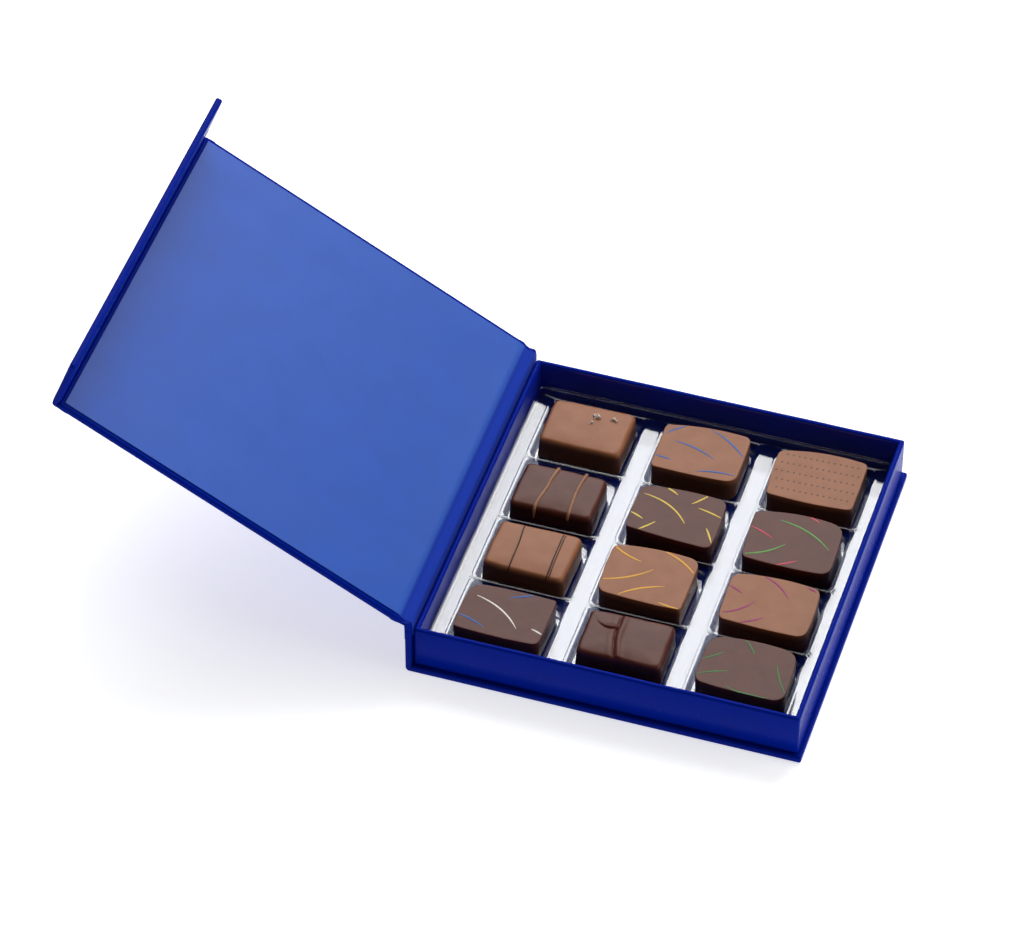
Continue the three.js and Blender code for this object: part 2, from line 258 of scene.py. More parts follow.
cover_paper = laminated_paper("cover paper", ROYAL_BLUE, 0.24, 0.02)
lining_paper = laminated_paper("lining paper", LINING_BLUE, 0.30, 0.45, GUTTER_SHADE_BLUE)
tray_inside = laminated_paper("tray inside paper", INNER_PAINTED_LIGHT_BLUE, 0.30, 1.0)


def glossy_floor_paper():
    """The tray's own bottom, under the insert, smooth enough to mirror the lamps."""
    paper = Finish("tray floor lacquer")
    colour = paper.blend(paper.noise(18), *FLOOR_BLUES)
    relief = paper.bump(paper.noise(30, detail=1), 0.05)
    film = 0.07 + 0.03 * paper.noise(5)
    return paper.surface(Base_Color=colour, Roughness=film, IOR=1.5, Normal=relief)


floor_paper = glossy_floor_paper()
frame["nodes"]["tray_floor"].material_slots[0].material = floor_paper
print("paper finishes ready")

# %% [markdown]
# ## Helpers for sheets and boards
# Nearly everything here is board or paper that runs straight along the hinge, so it is one section drawn
# in X and Z and carried along Y. Rounded corners get a short flat lead on both sides, which keeps the wide
# faces evenly shaded without any modifier.

# %% Mesh helpers
LEAD = 0.12 * MM
MERGE = 1e-6
EDGE_RADIUS = 0.7 * MM


def in_scene(name, data):
    """A new object at the origin for that mesh, lamp or camera."""
    thing = bpy.data.objects.new(name, data)
    scene.collection.objects.link(thing)
    return thing


def clean_mesh(mesh, merge):
    """Merges doubles, points all normals out and shades smooth."""
    work = bmesh.new()
    work.from_mesh(mesh)
    bmesh.ops.remove_doubles(work, verts=work.verts, dist=merge)
    bmesh.ops.recalc_face_normals(work, faces=work.faces)
    work.to_mesh(mesh)
    work.free()
    mesh.shade_smooth()


def make_piece(name, points, faces, finish, sharp=42):
    """A closed mesh object at the origin, with edges above that angle kept sharp."""
    mesh = bpy.data.meshes.new(name)
    mesh.from_pydata(points, [], faces)
    clean_mesh(mesh, MERGE)
    mesh.set_sharp_from_angle(angle=math.radians(sharp))
    mesh.materials.append(finish)
    return in_scene(name, mesh)


def applied(piece):
    """Makes the result of the piece's modifiers its own mesh."""
    depsgraph = bpy.context.evaluated_depsgraph_get()
    mesh = bpy.data.meshes.new_from_object(piece.evaluated_get(depsgraph))
    piece.modifiers.clear()
    piece.data = mesh


def rounded_outline(corners, steps=4):
    """Anticlockwise outline from corners (place, radius in mm), each corner an arc."""
    points = []
    for k, (here, radius) in enumerate(corners):
        back = (corners[k - 1][0] - here).normalized()
        on = (corners[(k + 1) % len(corners)][0] - here).normalized()
        half = back.angle(on) / 2
        reach = radius * MM / math.tan(half)
        centre = here + (back + on).normalized() * (radius * MM / math.sin(half))
        first, last = here + back * reach - centre, here + on * reach - centre
        turn = first.angle(last)
        points.append(here + back * (reach + LEAD))
        for i in range(steps + 1):
            t = i / steps
            arc = first * math.sin((1 - t) * turn) + last * math.sin(t * turn)
            points.append(centre + arc / math.sin(turn))
        points.append(here + on * (reach + LEAD))
    return points


def inset_outline(points, amount):
    """The outline moved inwards by that distance."""
    moved = []
    for k, point in enumerate(points):
        into = (point - points[k - 1]).normalized()
        out = (points[(k + 1) % len(points)] - point).normalized()
        first, second = Vector((into.y, -into.x)), Vector((out.y, -out.x))
        moved.append(point - (first + second) * (amount / (1 + first.dot(second))))
    return moved


def stations(half_length, rounding, middle=24):
    """(y, inset) pairs from one end to the other, with both ends rounded."""
    ends = []
    for degrees in (90, 60, 30, 0):
        t = math.radians(degrees)
        ends.append((half_length - rounding * (1 - math.sin(t)), rounding * (1 - math.cos(t))))
    ends.append((ends[-1][0] - LEAD, 0.0))
    inner = ends[-1][0]
    between = [(inner * (1 - 2 * i / middle), 0.0) for i in range(1, middle)]
    return ends + between + [(-y, inset) for y, inset in reversed(ends)]


def carried_along_y(name, outline, half_length, finish, rounding=0.5 * MM, lift=None):
    """Carries a section along Y. lift(y, point) may move a point of the section a little."""
    points, faces = [], []
    rows = stations(half_length, rounding)
    count = len(outline)
    for y, inset in rows:
        for point in inset_outline(outline, inset) if inset else outline:
            moved = lift(y, point) if lift else point
            points.append((moved.x, y, moved.y))
    for row in range(len(rows) - 1):
        for i in range(count):
            j = (i + 1) % count
            first = row * count
            faces.append((first + i, first + j, first + count + j, first + count + i))
    faces.append(tuple(range(count)))
    faces.append(tuple(range(len(points) - count, len(points))))
    return make_piece(name, points, faces, finish)


def smooth_path(points, steps=6):
    """Catmull-Rom curve through the points."""
    ends = [points[0] * 2 - points[1], *points, points[-1] * 2 - points[-2]]
    path = []
    for a, b, c, d in zip(ends, ends[1:], ends[2:], ends[3:]):
        for i in range(steps):
            t = i / steps
            square = (2 * a - 5 * b + 4 * c - d) * t**2
            cube = (3 * b - a - 3 * c + d) * t**3
            path.append(0.5 * (2 * b + (c - a) * t + square + cube))
    return [*path, points[-1]]


def sheet_outline(path, thickness):
    """Closed outline of a sheet of that thickness; the path is its upper side."""
    lower = []
    for k, point in enumerate(path):
        way = (path[min(k + 1, len(path) - 1)] - path[max(k - 1, 0)]).normalized()
        lower.append(point - Vector((-way.y, way.x)) * thickness)
    return [*path, *reversed(lower)]


print("helpers ready")

# %% [markdown]
# ## The covered case
# Base and spine are two boards under one skin of paper, so they are drawn as a single L with a softly
# rounded outer corner. The tray stands inside it, and a thin dark joint shows between them.

# %% Base and spine
base_low, base_high = (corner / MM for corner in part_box("base_board"))
spine_low, spine_high = (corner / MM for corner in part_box("spine_board"))
HALF_BOARD = base_high.y * MM
case_corners = [
    (box_at(base_low.x, base_low.z), 1.5),
    (box_at(base_high.x, base_low.z), 0.8),
    (box_at(base_high.x, base_high.z), 0.8),
    (box_at(spine_high.x, base_high.z), 0.2),
    (box_at(spine_high.x, spine_high.z), 0.7),
    (box_at(spine_low.x, spine_high.z), 0.9),
]
case = carried_along_y("case_cover", rounded_outline(case_corners), HALF_BOARD, cover_paper, EDGE_RADIUS)
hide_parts("base_board", "spine_board")
print("case", len(case.data.polygons), "faces")

# %% [markdown]
# ## The lid board and its flap
# The lid is one stiff board. It starts a few millimetres out from the hinge line, because the paper needs a
# free gutter to fold in. The flap is a second, narrow board beyond the far fold.

# %% Lid and flap boards
LID_INNER, LID_OUTER = -1.37, 1.08
LID_FAR = lid_reach - 1.3
LID_NEAR = 3.4
CORNER = 0.8
lid_corners = [
    (lid_at(LID_NEAR, LID_INNER), CORNER),
    (lid_at(LID_FAR, LID_INNER), CORNER),
    (lid_at(LID_FAR, LID_OUTER), CORNER),
    (lid_at(LID_NEAR, LID_OUTER), CORNER),
]
lid_board = carried_along_y("lid_cover", rounded_outline(lid_corners), HALF_BOARD, cover_paper, EDGE_RADIUS)
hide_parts("lid_board")

FLAP_INNER, FLAP_OUTER = -1.6, 0.85
FLAP_TOP, FLAP_TIP = 1.9, 21.5
flap_corners = [
    (flap_at(FLAP_INNER, FLAP_TIP), CORNER),
    (flap_at(FLAP_OUTER, FLAP_TIP), CORNER),
    (flap_at(FLAP_OUTER, FLAP_TOP), CORNER),
    (flap_at(FLAP_INNER, FLAP_TOP), CORNER),
]
flap_section = rounded_outline(flap_corners)
flap_board = carried_along_y("flap_cover", flap_section, HALF_BOARD, cover_paper, EDGE_RADIUS)
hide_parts("flap_board")
print("lid board", round(LID_FAR - LID_NEAR, 1), "mm wide, flap", round(FLAP_TIP - FLAP_TOP, 1), "mm")

# %% [markdown]
# ## Paper hinges
# A paper hinge is a strip of free paper between two boards. Here it is a thin closed form that starts on the
# spine, swells into a small round knuckle at the fold, dips into a gutter and ends on the lid.

# %% Hinge between the spine and the lid
spine_outer, spine_inner = spine_low.x, spine_high.x
KNUCKLE = 1.3


def many(place, *pairs):
    """Several points of one section."""
    return [place(*pair) for pair in pairs]


def knuckle_side(radius):
    """The round inner side of the fold, about the hinge line."""
    return [lid_at(radius * math.sin(t), -radius * math.cos(t)) for t in (-1.05, -0.7, -0.35, 0.0, 0.3)]


inner_skin = smooth_path([
    *many(box_at, (spine_inner + 0.06, 15.5), (spine_inner + 0.06, 18.5), (spine_inner + 0.02, 20.6)),
    *knuckle_side(KNUCKLE),
    *many(lid_at, (1.0, -0.95), (1.7, -0.62), (2.6, -0.66), (3.6, -1.0)),
    *many(lid_at, (4.5, -1.36), (5.4, -1.42), (6.4, -1.42)),
])
outer_skin = smooth_path([
    *many(lid_at, (6.4, LID_OUTER + 0.05), (5.2, LID_OUTER + 0.04)),
    *many(lid_at, (4.2, 0.9), (3.0, 0.55), (2.0, 0.36), (1.0, 0.3)),
    *many(box_at, (spine_outer - 0.12, 21.3), (spine_outer - 0.05, 20.2)),
    *many(box_at, (spine_outer - 0.05, 18.5), (spine_outer - 0.05, 15.5)),
])
BEND_END = lid_at(2.2, -0.3)


def between(point):
    """A point of a section as a point of the frame, halfway along the hinge."""
    return (point.x, 0.0, point.y)


PAPER_HALF = HALF_BOARD - 0.1 * MM
PAPER_EDGE = 0.3 * MM
lid_fold = carried_along_y("hinge_paper", [*inner_skin, *outer_skin], PAPER_HALF, cover_paper, PAPER_EDGE)
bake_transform(lid_fold)
print("hinge paper", len(lid_fold.data.polygons), "faces")

# %% Fold between the lid and the flap
fold_inner = smooth_path([
    *many(lid_at, (lid_reach - 5.5, LID_INNER - 0.05), (lid_reach - 3.5, LID_INNER - 0.05)),
    *many(lid_at, (lid_reach - 2.2, -1.1), (lid_reach - 1.3, -0.75)),
    *many(flap_at, (-0.8, 0.6), (-1.2, 1.6), (FLAP_INNER - 0.05, 3.0), (FLAP_INNER - 0.05, 5.0)),
])
fold_outer = smooth_path([
    *many(flap_at, (FLAP_OUTER + 0.05, 5.0), (FLAP_OUTER + 0.04, 2.6)),
    *many(flap_at, (0.8, 0.9), (0.62, -0.1), (-0.1, -0.82)),
    *many(lid_at, (lid_reach - 2.0, 0.98), (lid_reach - 3.4, LID_OUTER + 0.05)),
    lid_at(lid_reach - 5.5, LID_OUTER + 0.05),
])
flap_fold = carried_along_y("flap_fold", [*fold_inner, *fold_outer], PAPER_HALF, cover_paper, PAPER_EDGE)
fold_start, fold_end = lid_at(lid_reach - 1.6, 0.0), flap_at(0.0, 1.8)
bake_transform(flap_fold)
print("flap fold", len(flap_fold.data.polygons), "faces")

# %% [markdown]
# ## The lining of the lid
# A single sheet of paper lines the lid and runs down through the gutter into the joint beside the spine. The
# cover's turned-in margin ends under it, 15 mm in from the edges, and shows through as a faint step. It is
# drawn as one path.

# %% Lining sheet
LINING_LEVEL = LID_INNER - 0.35
LINING_THICK = 0.25 * MM
LINING_HALF = HALF_BOARD - 1.7 * MM
LINING_KNUCKLE = 1.45
TURN_IN = 15 * MM
TURN_IN_STEP = 0.1 * MM
lining_path = smooth_path([
    *many(box_at, (spine_inner + 0.18, 16.5), (spine_inner + 0.18, 18.8), (spine_inner + 0.14, 20.7)),
    *knuckle_side(LINING_KNUCKLE),
    *many(lid_at, (0.85, -1.16), (1.5, -0.84), (2.4, -0.86), (3.4, -1.2), (4.3, -1.6)),
    *many(lid_at, (5.4, LINING_LEVEL), (8.0, LINING_LEVEL)),
])
lining_path += [lid_at(u, LINING_LEVEL) for u in (*range(12, 133, 6), lid_reach - 3.0)]


def turned_in(y, point):
    """Lowers the sheet a little where no margin lies under it."""
    depth = min(max((HALF_BOARD - TURN_IN - abs(y)) / (0.8 * MM), 0), 1)
    beyond = (point - lid_at(0, 0)).dot(ALONG_LID) / MM
    return point + OUT_OF_LID * (TURN_IN_STEP * depth * min(max((beyond - 6) / 8, 0), 1))


lining_section = sheet_outline(lining_path, -LINING_THICK)
lining = carried_along_y("lid_lining", lining_section, LINING_HALF, lining_paper, 0.08 * MM, turned_in)
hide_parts("lid_liner")
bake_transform(lining)
print("lining", round(2 * LINING_HALF / MM, 1), "mm along the hinge")

# %% [markdown]
# ## The tray
# The four walls of the tray are wrapped as one ring. A loop of sections goes round a rectangle with small
# corner radii, and the top of the section is a full round of paper over the board's edge. Hand wrapped
# paper is never quite straight, so slow noise moves the ring by less than a tenth of a millimetre. The faces
# that look inwards get the glossier paper, in a lighter blue than the cover that is painted light.

# %% Rounded rectangles and loops


def ring_points(low, high, inset, radius, side_steps, corner_steps):
    """A rounded rectangle, anticlockwise from the front right corner."""
    x0, y0, x1, y1 = low.x + inset, low.y + inset, high.x - inset, high.y - inset
    turns = [(x1, y0, -90), (x1, y1, 0), (x0, y1, 90), (x0, y0, 180)]

    def on_corner(k, degrees):
        x, y, start = turns[k % 4]
        cx = x - math.copysign(radius, x - (x0 + x1) / 2)
        cy = y - math.copysign(radius, y - (y0 + y1) / 2)
        t = math.radians(start + degrees)
        return Vector((cx + radius * math.cos(t), cy + radius * math.sin(t)))

    points = []
    for k in range(4):
        points += [on_corner(k, 90 * i / corner_steps) for i in range(corner_steps + 1)]
        first, last = points[-1], on_corner(k + 1, 0)
        points += [first.lerp(last, i / side_steps) for i in range(1, side_steps)]
    return points


def looped_surface(rings, name, finish):
    """Joins rings of points into a closed loop of bands."""
    count = len(rings[0])
    points = [tuple(point) for ring in rings for point in ring]
    faces = []
    for r in range(len(rings)):
        first, second = r * count, ((r + 1) % len(rings)) * count
        for i in range(count):
            j = (i + 1) % count
            faces.append((first + i, first + j, second + j, second + i))
    return make_piece(name, points, faces, finish)


print("ring helpers ready")

# %% Tray ring
WALL = 1.9
WAVER, WAVER_SIZE = 0.09 * MM, 17 * MM
tray_low = Vector((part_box("wall_left")[0].x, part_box("wall_front")[0].y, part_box("wall_left")[0].z))
tray_high = Vector((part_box("wall_right")[1].x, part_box("wall_back")[1].y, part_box("wall_left")[1].z))
top, foot = tray_high.z, tray_low.z
outer_half = [
    (0.25, foot),
    (0.0, foot + 0.3 * MM),
    (0.0, top - 0.95 * MM),
    (0.0, top - 0.8 * MM),
    (0.09, top - 0.42 * MM),
    (0.34, top - 0.13 * MM),
    (0.72, top),
]
wall_section = outer_half + [(WALL - inset, z) for inset, z in reversed(outer_half)]
tray_rings = []
for inset, z in wall_section:
    radius = max(0.9 - 0.75 * inset, 0.12) * MM
    ring = ring_points(tray_low, tray_high, inset * MM, radius, 30, 4)
    tray_rings.append([Vector((p.x, p.y, z)) for p in ring])
for ring in tray_rings:
    for k, point in enumerate(ring):
        ring[k] = point + noise.noise_vector(point / WAVER_SIZE + Vector((3.0, 0, 0))) * WAVER
tray = looped_surface(tray_rings, "tray_walls", cover_paper)
tray.data.materials.append(tray_inside)
for face in tray.data.polygons:
    inward = Vector((face.normal.x * face.center.x, face.normal.y * face.center.y))
    across = abs(face.normal.x) > abs(face.normal.y)
    if abs(face.normal.z) < 0.6 and (inward.x if across else inward.y) < 0:
        face.material_index = 1
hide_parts("wall_left", "wall_right", "wall_front", "wall_back")
print("tray", [round(v / MM, 1) for v in tray_high - tray_low], "mm")

# %% [markdown]
# ## The clear insert
# The insert is one thin clear sheet, drawn down into a pocket for each praline. It could be cut from a
# block, but a formed sheet has soft edges everywhere, so each cell is built as nested rings instead: from
# the shared cell border over the rounded edge, down the wall and across the floor. Above the rounded pocket
# corners the sheet keeps a squarer edge, which leaves the small slanted facets that catch the light. The
# ridges between the rows are rounded and the strips between the columns flat, with a groove at each side. The
# margin goes on from the same border points, so no seam bends the reflections, and at the sides it slopes up.

# %% Insert sizes
PITCH = Vector((42.1, 31.05)) * MM
CELLS_MIDDLE = Vector((0.9, 0.9)) * MM
COLUMNS, ROWS = 3, 4
SHEET_PLANE = 9.2 * MM
POCKET = Vector((34.0, 29.6)) * MM
SIDE_SLOPE = 0.11
RIDGE_DROP = 0.24 * MM
GROOVE_DROP = 0.16
CLEAR_EDGE = 0.078
FILM = 0.3 * MM
block_low = CELLS_MIDDLE - Vector((COLUMNS * PITCH.x, ROWS * PITCH.y)) / 2
block_high = CELLS_MIDDLE + Vector((COLUMNS * PITCH.x, ROWS * PITCH.y)) / 2
insert_low, insert_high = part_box("clear_insert")


def cell_middle(row, column):
    """Row 1 is at the back, column 1 beside the lid."""
    return CELLS_MIDDLE + Vector(((column - 2) * PITCH.x, (2.5 - row) * PITCH.y))


print("cells", round(PITCH.x / MM, 2), "by", round(PITCH.y / MM, 2), "mm")

# %% Insert rings


def pocket_ring(middle, half_x, half_y, radius, z):
    """A rounded rectangle about a cell's middle."""
    low, high = middle - Vector((half_x, half_y)), middle + Vector((half_x, half_y))
    return [Vector((p.x, p.y, z)) for p in ring_points(low, high, 0, radius, 10, 5)]


def border_ring(middle, z, like):
    """The same number of points on the cell's straight border, spread as on the ring inside it."""
    half = PITCH / 2
    reach_x, reach_y = POCKET.x / 2 + 0.1 * MM, POCKET.y / 2 + 0.1 * MM
    ring = []
    for p in like:
        away = Vector((p.x, p.y)) - middle
        spot = away / max(abs(away.x) / reach_x, abs(away.y) / reach_y)
        x = middle.x + spot.x * half.x / reach_x
        y = middle.y + spot.y * half.y / reach_y
        ring.append(Vector((x, y, z)))
    for sx, sy in ((-1, -1), (1, -1), (1, 1), (-1, 1)):
        corner = Vector((middle.x + sx * half.x, middle.y + sy * half.y, z))
        nearest = min(range(len(ring)), key=lambda k: (ring[k] - corner).length)
        ring[nearest] = corner
    return ring


def on_margin(point, low, high, radius):
    """Where a point of the block's straight border goes on a rounded rectangle around it."""
    share = Vector(((point.x - block_low.x) / (block_high.x - block_low.x),
                    (point.y - block_low.y) / (block_high.y - block_low.y)))
    x, y = low.x + share.x * (high.x - low.x), low.y + share.y * (high.y - low.y)
    centre_x = min(max(x, low.x + radius), high.x - radius)
    centre_y = min(max(y, low.y + radius), high.y - radius)
    centre = Vector((centre_x, centre_y))
    away = Vector((x, y)) - centre
    if abs(away.x) > 1e-9 and abs(away.y) > 1e-9:
        away = away.normalized() * radius
    return centre + away


def cell_rings(middle):
    """Rings from a cell's border to its pocket floor, each (beyond x, beyond y, radius, drop) in mm."""
    half = POCKET / 2
    edge = [
        (0.55, 0.18, 1.7, 0.0),
        (0.35, 0.10, 1.65, 0.03),
        (0.12, 0.02, 1.6, 0.24),
        (-0.05, -0.05, 1.6, 0.38),
        (-0.12, -0.10, 1.8, 0.68),
        (-0.16, -0.16, 3.2, 1.7),
        (-0.27, -0.27, 3.2, 3.1),
        (-0.42, -0.42, 3.1, 3.45),
        (-0.85, -0.85, 2.9, 3.6),
    ]
    rings = []
    for dx, dy, radius, drop in edge:
        rings.append(
            pocket_ring(middle, half.x + dx * MM, half.y + dy * MM, radius * MM, SHEET_PLANE - drop * MM)
        )
    groove = [(1.85, 0.42, GROOVE_DROP), (1.6, 0.38, 0.15), (1.35, 0.34, 0.01)]
    groove += [(1.1, 0.30, 0.0), (0.75, 0.22, 0.0)]
    step = []
    for dx, dy, drop in groove:
        ring = pocket_ring(middle, half.x + dx * MM, half.y + dy * MM, 1.8 * MM, SHEET_PLANE - drop * MM)
        step.append(ring)
    border = border_ring(middle, SHEET_PLANE - GROOVE_DROP * MM, step[0])
    for ring in (border, *step, *rings[:2]):
        for point in ring:
            beside = min(max((abs(point.x - middle.x) - half.x) / (0.9 * MM), 0), 1)
            lowered = (SHEET_PLANE - point.z) * beside
            across = min((abs(point.y - middle.y) - half.y) / (PITCH.y / 2 - half.y), 1)
            rounded = RIDGE_DROP * (1 - max(across, 0)) ** 1.3 * (1 - beside)
            point.z = SHEET_PLANE - lowered - rounded
    return [border, *step, *rings]


def on_block_edge(point):
    """True on the outer border of the twelve cells."""
    reach_x = min(abs(point.x - block_low.x), abs(point.x - block_high.x))
    reach_y = min(abs(point.y - block_low.y), abs(point.y - block_high.y))
    return min(reach_x, reach_y) < 1e-7


print("pocket rings", len(cell_rings(cell_middle(1, 1))))

# %% Insert sheet


def insert_mesh():
    """All cells and the margin round them, as one open sheet."""
    points, faces = [], []

    def band(outer, inner):
        for i in range(len(outer)):
            j = (i + 1) % len(outer)
            faces.append((outer[i], outer[j], inner[j], inner[i]))

    def add(ring):
        first = len(points)
        points.extend(ring)
        return list(range(first, len(points)))

    for row in range(1, ROWS + 1):
        for column in range(1, COLUMNS + 1):
            levels = [add(ring) for ring in cell_rings(cell_middle(row, column))]
            for outer, inner in zip(levels, levels[1:]):
                band(outer, inner)
            faces.append(tuple(levels[-1]))
    edge = {(round(p.x, 7), round(p.y, 7)): p for p in points if on_block_edge(p)}
    edge = sorted(edge.values(), key=lambda p: math.atan2(p.y - CELLS_MIDDLE.y, p.x - CELLS_MIDDLE.x))
    flat_margin = [(0.9, 2.4, 0.0), (0.62, 2.6, 0.0)]
    rim = [(0.5, 2.65, 0.1), (0.36, 2.8, 0.62), (0.26, 2.9, 0.76), (0.0, 3.0, 0.8)]
    levels = [add([p.copy() for p in edge])]
    for inset, radius, rise in flat_margin + rim:
        shrink = Vector((inset, inset, 0)) * MM
        ring = [on_margin(p, insert_low + shrink, insert_high - shrink, radius * MM) for p in edge]
        levels.append(add([Vector((p.x, p.y, SHEET_PLANE + rise * MM)) for p in ring]))
    for outer, inner in zip(levels[1:], levels):
        band(outer, inner)
    reach = PITCH.x + POCKET.x / 2 + 0.5 * MM
    for point in points:
        beyond = abs(point.x - CELLS_MIDDLE.x) - reach
        if beyond > 0 and point.z > SHEET_PLANE - 0.5 * MM:
            point.z = min(point.z + SIDE_SLOPE * beyond, insert_high.z)
    return points, faces


def clear_sheet_finish():
    """Clear film: it lets light straight through and mirrors more the flatter it is seen."""
    film = Finish("clear film")
    facing = film.add("ShaderNodeLayerWeight", inputs={"Blend": 0.5}, output="Facing")
    mirrored = CLEAR_EDGE + (1 - CLEAR_EDGE) * facing**5
    relief = film.bump(film.noise(9, detail=1), 0.02)
    see_through = film.add("ShaderNodeBsdfTransparent", inputs={"Color": (0.97, 0.98, 0.985, 1)})
    gloss = film.add(
        "ShaderNodeBsdfAnisotropic", inputs={"Color": (1, 1, 1, 1), "Roughness": 0.06, "Normal": relief}
    )
    mix = film.add("ShaderNodeMixShader", inputs={0: mirrored, 1: see_through, 2: gloss})
    film.tree.links.new(mix.socket, film.output.inputs["Surface"])
    return film.material


clear_film = clear_sheet_finish()
points, faces = insert_mesh()
insert = make_piece("insert_film", [tuple(p) for p in points], faces, clear_film, sharp=50)
print("insert sheet", len(points), "points")

# %% [markdown]
# ## Chocolate
# Chocolate looks brown at its edges and greyer on top, because its fine satin surface spreads the lamps
# behind the box into a haze. So the colour itself stays warm and dark and the roughness does the rest. The
# sides get a painted shade: a darker tone of the same colour that comes in below a given height.

# %% Chocolate finishes
# Painted shade on the sides: full below SIDE_BELOW, gone above TOP_ABOVE.
SIDE_BELOW, TOP_ABOVE = 12.6 * MM, 15.4 * MM
SIDE_PAINTED_SHADE = 0.42


def chocolate(name, warm, deep, roughness, gloss):
    """Satin chocolate. Below a given height the sides get a painted shade, a darker tone of the deep colour.
    """
    coat = Finish(name)
    patches = coat.step(coat.noise(7, detail=4), 0.32, 0.68)
    height = coat.along("Z") + coat.noise(3) * 0.8 * MM
    top = coat.blend(patches, deep, warm)
    # Painted shade: the sides turn to a darker tone of the deep colour towards the foot.
    colour = coat.blend(coat.step(height, SIDE_BELOW, TOP_ABOVE), toned(deep, SIDE_PAINTED_SHADE), top)
    grain = coat.bump(coat.noise(0.5, detail=3), 0.006)
    relief = coat.bump(coat.noise(5, detail=2), 0.10, grain)
    satin = roughness + 0.08 * coat.noise(2.5, detail=3)
    return coat.surface(
        Base_Color=colour, Roughness=satin, IOR=1.5, Specular_IOR_Level=gloss, Normal=relief
    )


milk = chocolate("milk chocolate", (0.345, 0.128, 0.052, 1), (0.308, 0.111, 0.042, 1), 0.40, 0.30)
dark = chocolate("dark chocolate", (0.108, 0.024, 0.011, 1), (0.093, 0.019, 0.009, 1), 0.34, 0.25)
CHOCOLATE = {"milk": milk, "dark": dark}
print("two chocolates ready")

# %% [markdown]
# ## Praline bodies
# There are two kinds. Dipped pralines have soft edges all round and a slightly swollen top. Pressed ones were
# covered with a foil while soft, which gives a flat top with a crisp edge and slightly bowed sides. Both are
# lofted through rings of a rounded rectangle, and slow noise takes away the machined look.

# %% Praline outlines and levels
PRALINE_FOOT, PRALINE_HEIGHT = 5.8, 9.5
TOP_RINGS = 26
CROWN = 0.4
DIPPED_SWAY, PRESSED_SWAY = 0.26, 0.07
FOOT_TOP = 3.6
FOOT_X, FOOT_Y = 16.4, 14.2
RIPPLE_DEPTH = 1.6


def praline_outline(spec):
    """Rim of the top in mm: four rounded corners from the front left, joined by bowed sides."""
    corners = [Vector(corner[:2]) for corner in spec["corners"]]
    reach = [corner[2] for corner in spec["corners"]]
    steps = 40 if spec.get("ripple") else 18

    def side(k, t):
        first, last = corners[k % 4], corners[(k + 1) % 4]
        way = last - first
        outward = Vector((way.y, -way.x)).normalized()
        return first.lerp(last, t) + outward * (spec["bows"][k % 4] * 4 * t * (1 - t))

    points = []
    for k in range(4):
        before = (corners[k] - corners[k - 1]).length
        after = (corners[(k + 1) % 4] - corners[k]).length
        into, out = side(k + 3, 1 - reach[k] / before), side(k, reach[k] / after)
        for i in range(8):
            t = i / 8
            points.append(into * (1 - t) ** 2 + corners[k] * (2 * t * (1 - t)) + out * t**2)
        start, end = reach[k] / after, 1 - reach[(k + 1) % 4] / after
        points += [side(k, start + (end - start) * i / steps) for i in range(steps)]
    return points


def side_levels(spec):
    """(inset, height) pairs in mm from the foot of a praline up to the edge of its top."""
    h = PRALINE_HEIGHT
    if spec["kind"] == "pressed":
        levels = [(0.8, 0.0), (0.2, 0.1), (0.0, 0.5), (0.08, 1.2), (0.16, 2.4), (0.14, 4.5), (0.06, 6.6)]
        rim = [(0.02, h - 0.2), (0.07, h - 0.08), (0.15, h - 0.02), (0.26, h)]
        return levels + [(0.0, 8.2), (0.0, h - 0.5)] + rim
    levels = [(0.9, 0.0), (0.2, 0.1), (-0.15, 0.5), (-0.1, 1.2), (0.0, 2.2), (0.05, 4.0), (0.08, 5.6)]
    for degrees in range(0, 91, 10):
        t = math.radians(degrees)
        levels.append((0.1 + 1.7 * (1 - math.cos(t)), h - 0.25 - 1.9 * (1 - math.sin(t))))
    return levels


print("levels of a pressed praline", len(side_levels({"kind": "pressed"})))

# %% Praline surface


def swell(distance, height, width):
    """A soft rise of that height and width, highest at distance 0."""
    return height * math.exp(-((distance / width) ** 2))


def ramp(value):
    return min(max(value, 0), 1)


def fork_ripple(x, y):
    """Height in mm of the soft fold that a dipping fork left on one praline."""
    line = -3.85 + 0.012 * (y - 3.5) ** 2 if y < 3.5 else -3.85 - 0.01 * (y - 3.5)
    d = x - line
    ends = ramp((10.4 - y) / 1.6) * ramp((y + 11.2) / 1.5)
    height = ends * (swell(d - 1.7, 0.62, 1.25) + swell(d - 6.0, 0.2, 3.0) - swell(d - 0.1, 0.55, 0.42))
    if x < line + 0.3:
        e = y - (1.95 + 0.095 * (x + 6.3) ** 2)
        height += ramp((x + 12.0) / 5.0) * (swell(e - 1.0, 0.42, 0.9) - swell(e + 0.05, 0.34, 0.32))
        height += ends * swell(d + 1.6, 0.16, 1.0)
    return height


def crown_lift(spec, x, y):
    """How far the swollen top of a dipped praline stands above its edge, in mm."""
    if spec["kind"] == "pressed":
        return 0.0
    f = min(max(abs(x) / 13.2, abs(y) / 9.6), 1.0)
    return CROWN * (1 - f**3)


def praline_place(spec):
    """Turns a praline's own millimetres into the frame."""
    middle = cell_middle(*spec["cell"])
    x, y = spec["shift"]
    place = Matrix.Translation((middle.x + x * MM, middle.y + y * MM, PRALINE_FOOT * MM))
    return place @ Matrix.Rotation(math.radians(spec["turn"]), 4, "Z") @ Matrix.Scale(MM, 4)


def shrunk_outline(points, amount):
    """Moves the sides inwards but keeps the corners as round as they were, for deep insets."""
    middle = sum(points, Vector((0, 0))) / len(points)
    half_x = max(abs(p.x - middle.x) for p in points)
    half_y = max(abs(p.y - middle.y) for p in points)
    grow = Vector((1 - amount / half_x, 1 - amount / half_y))
    return [middle + (p - middle) * grow for p in points]


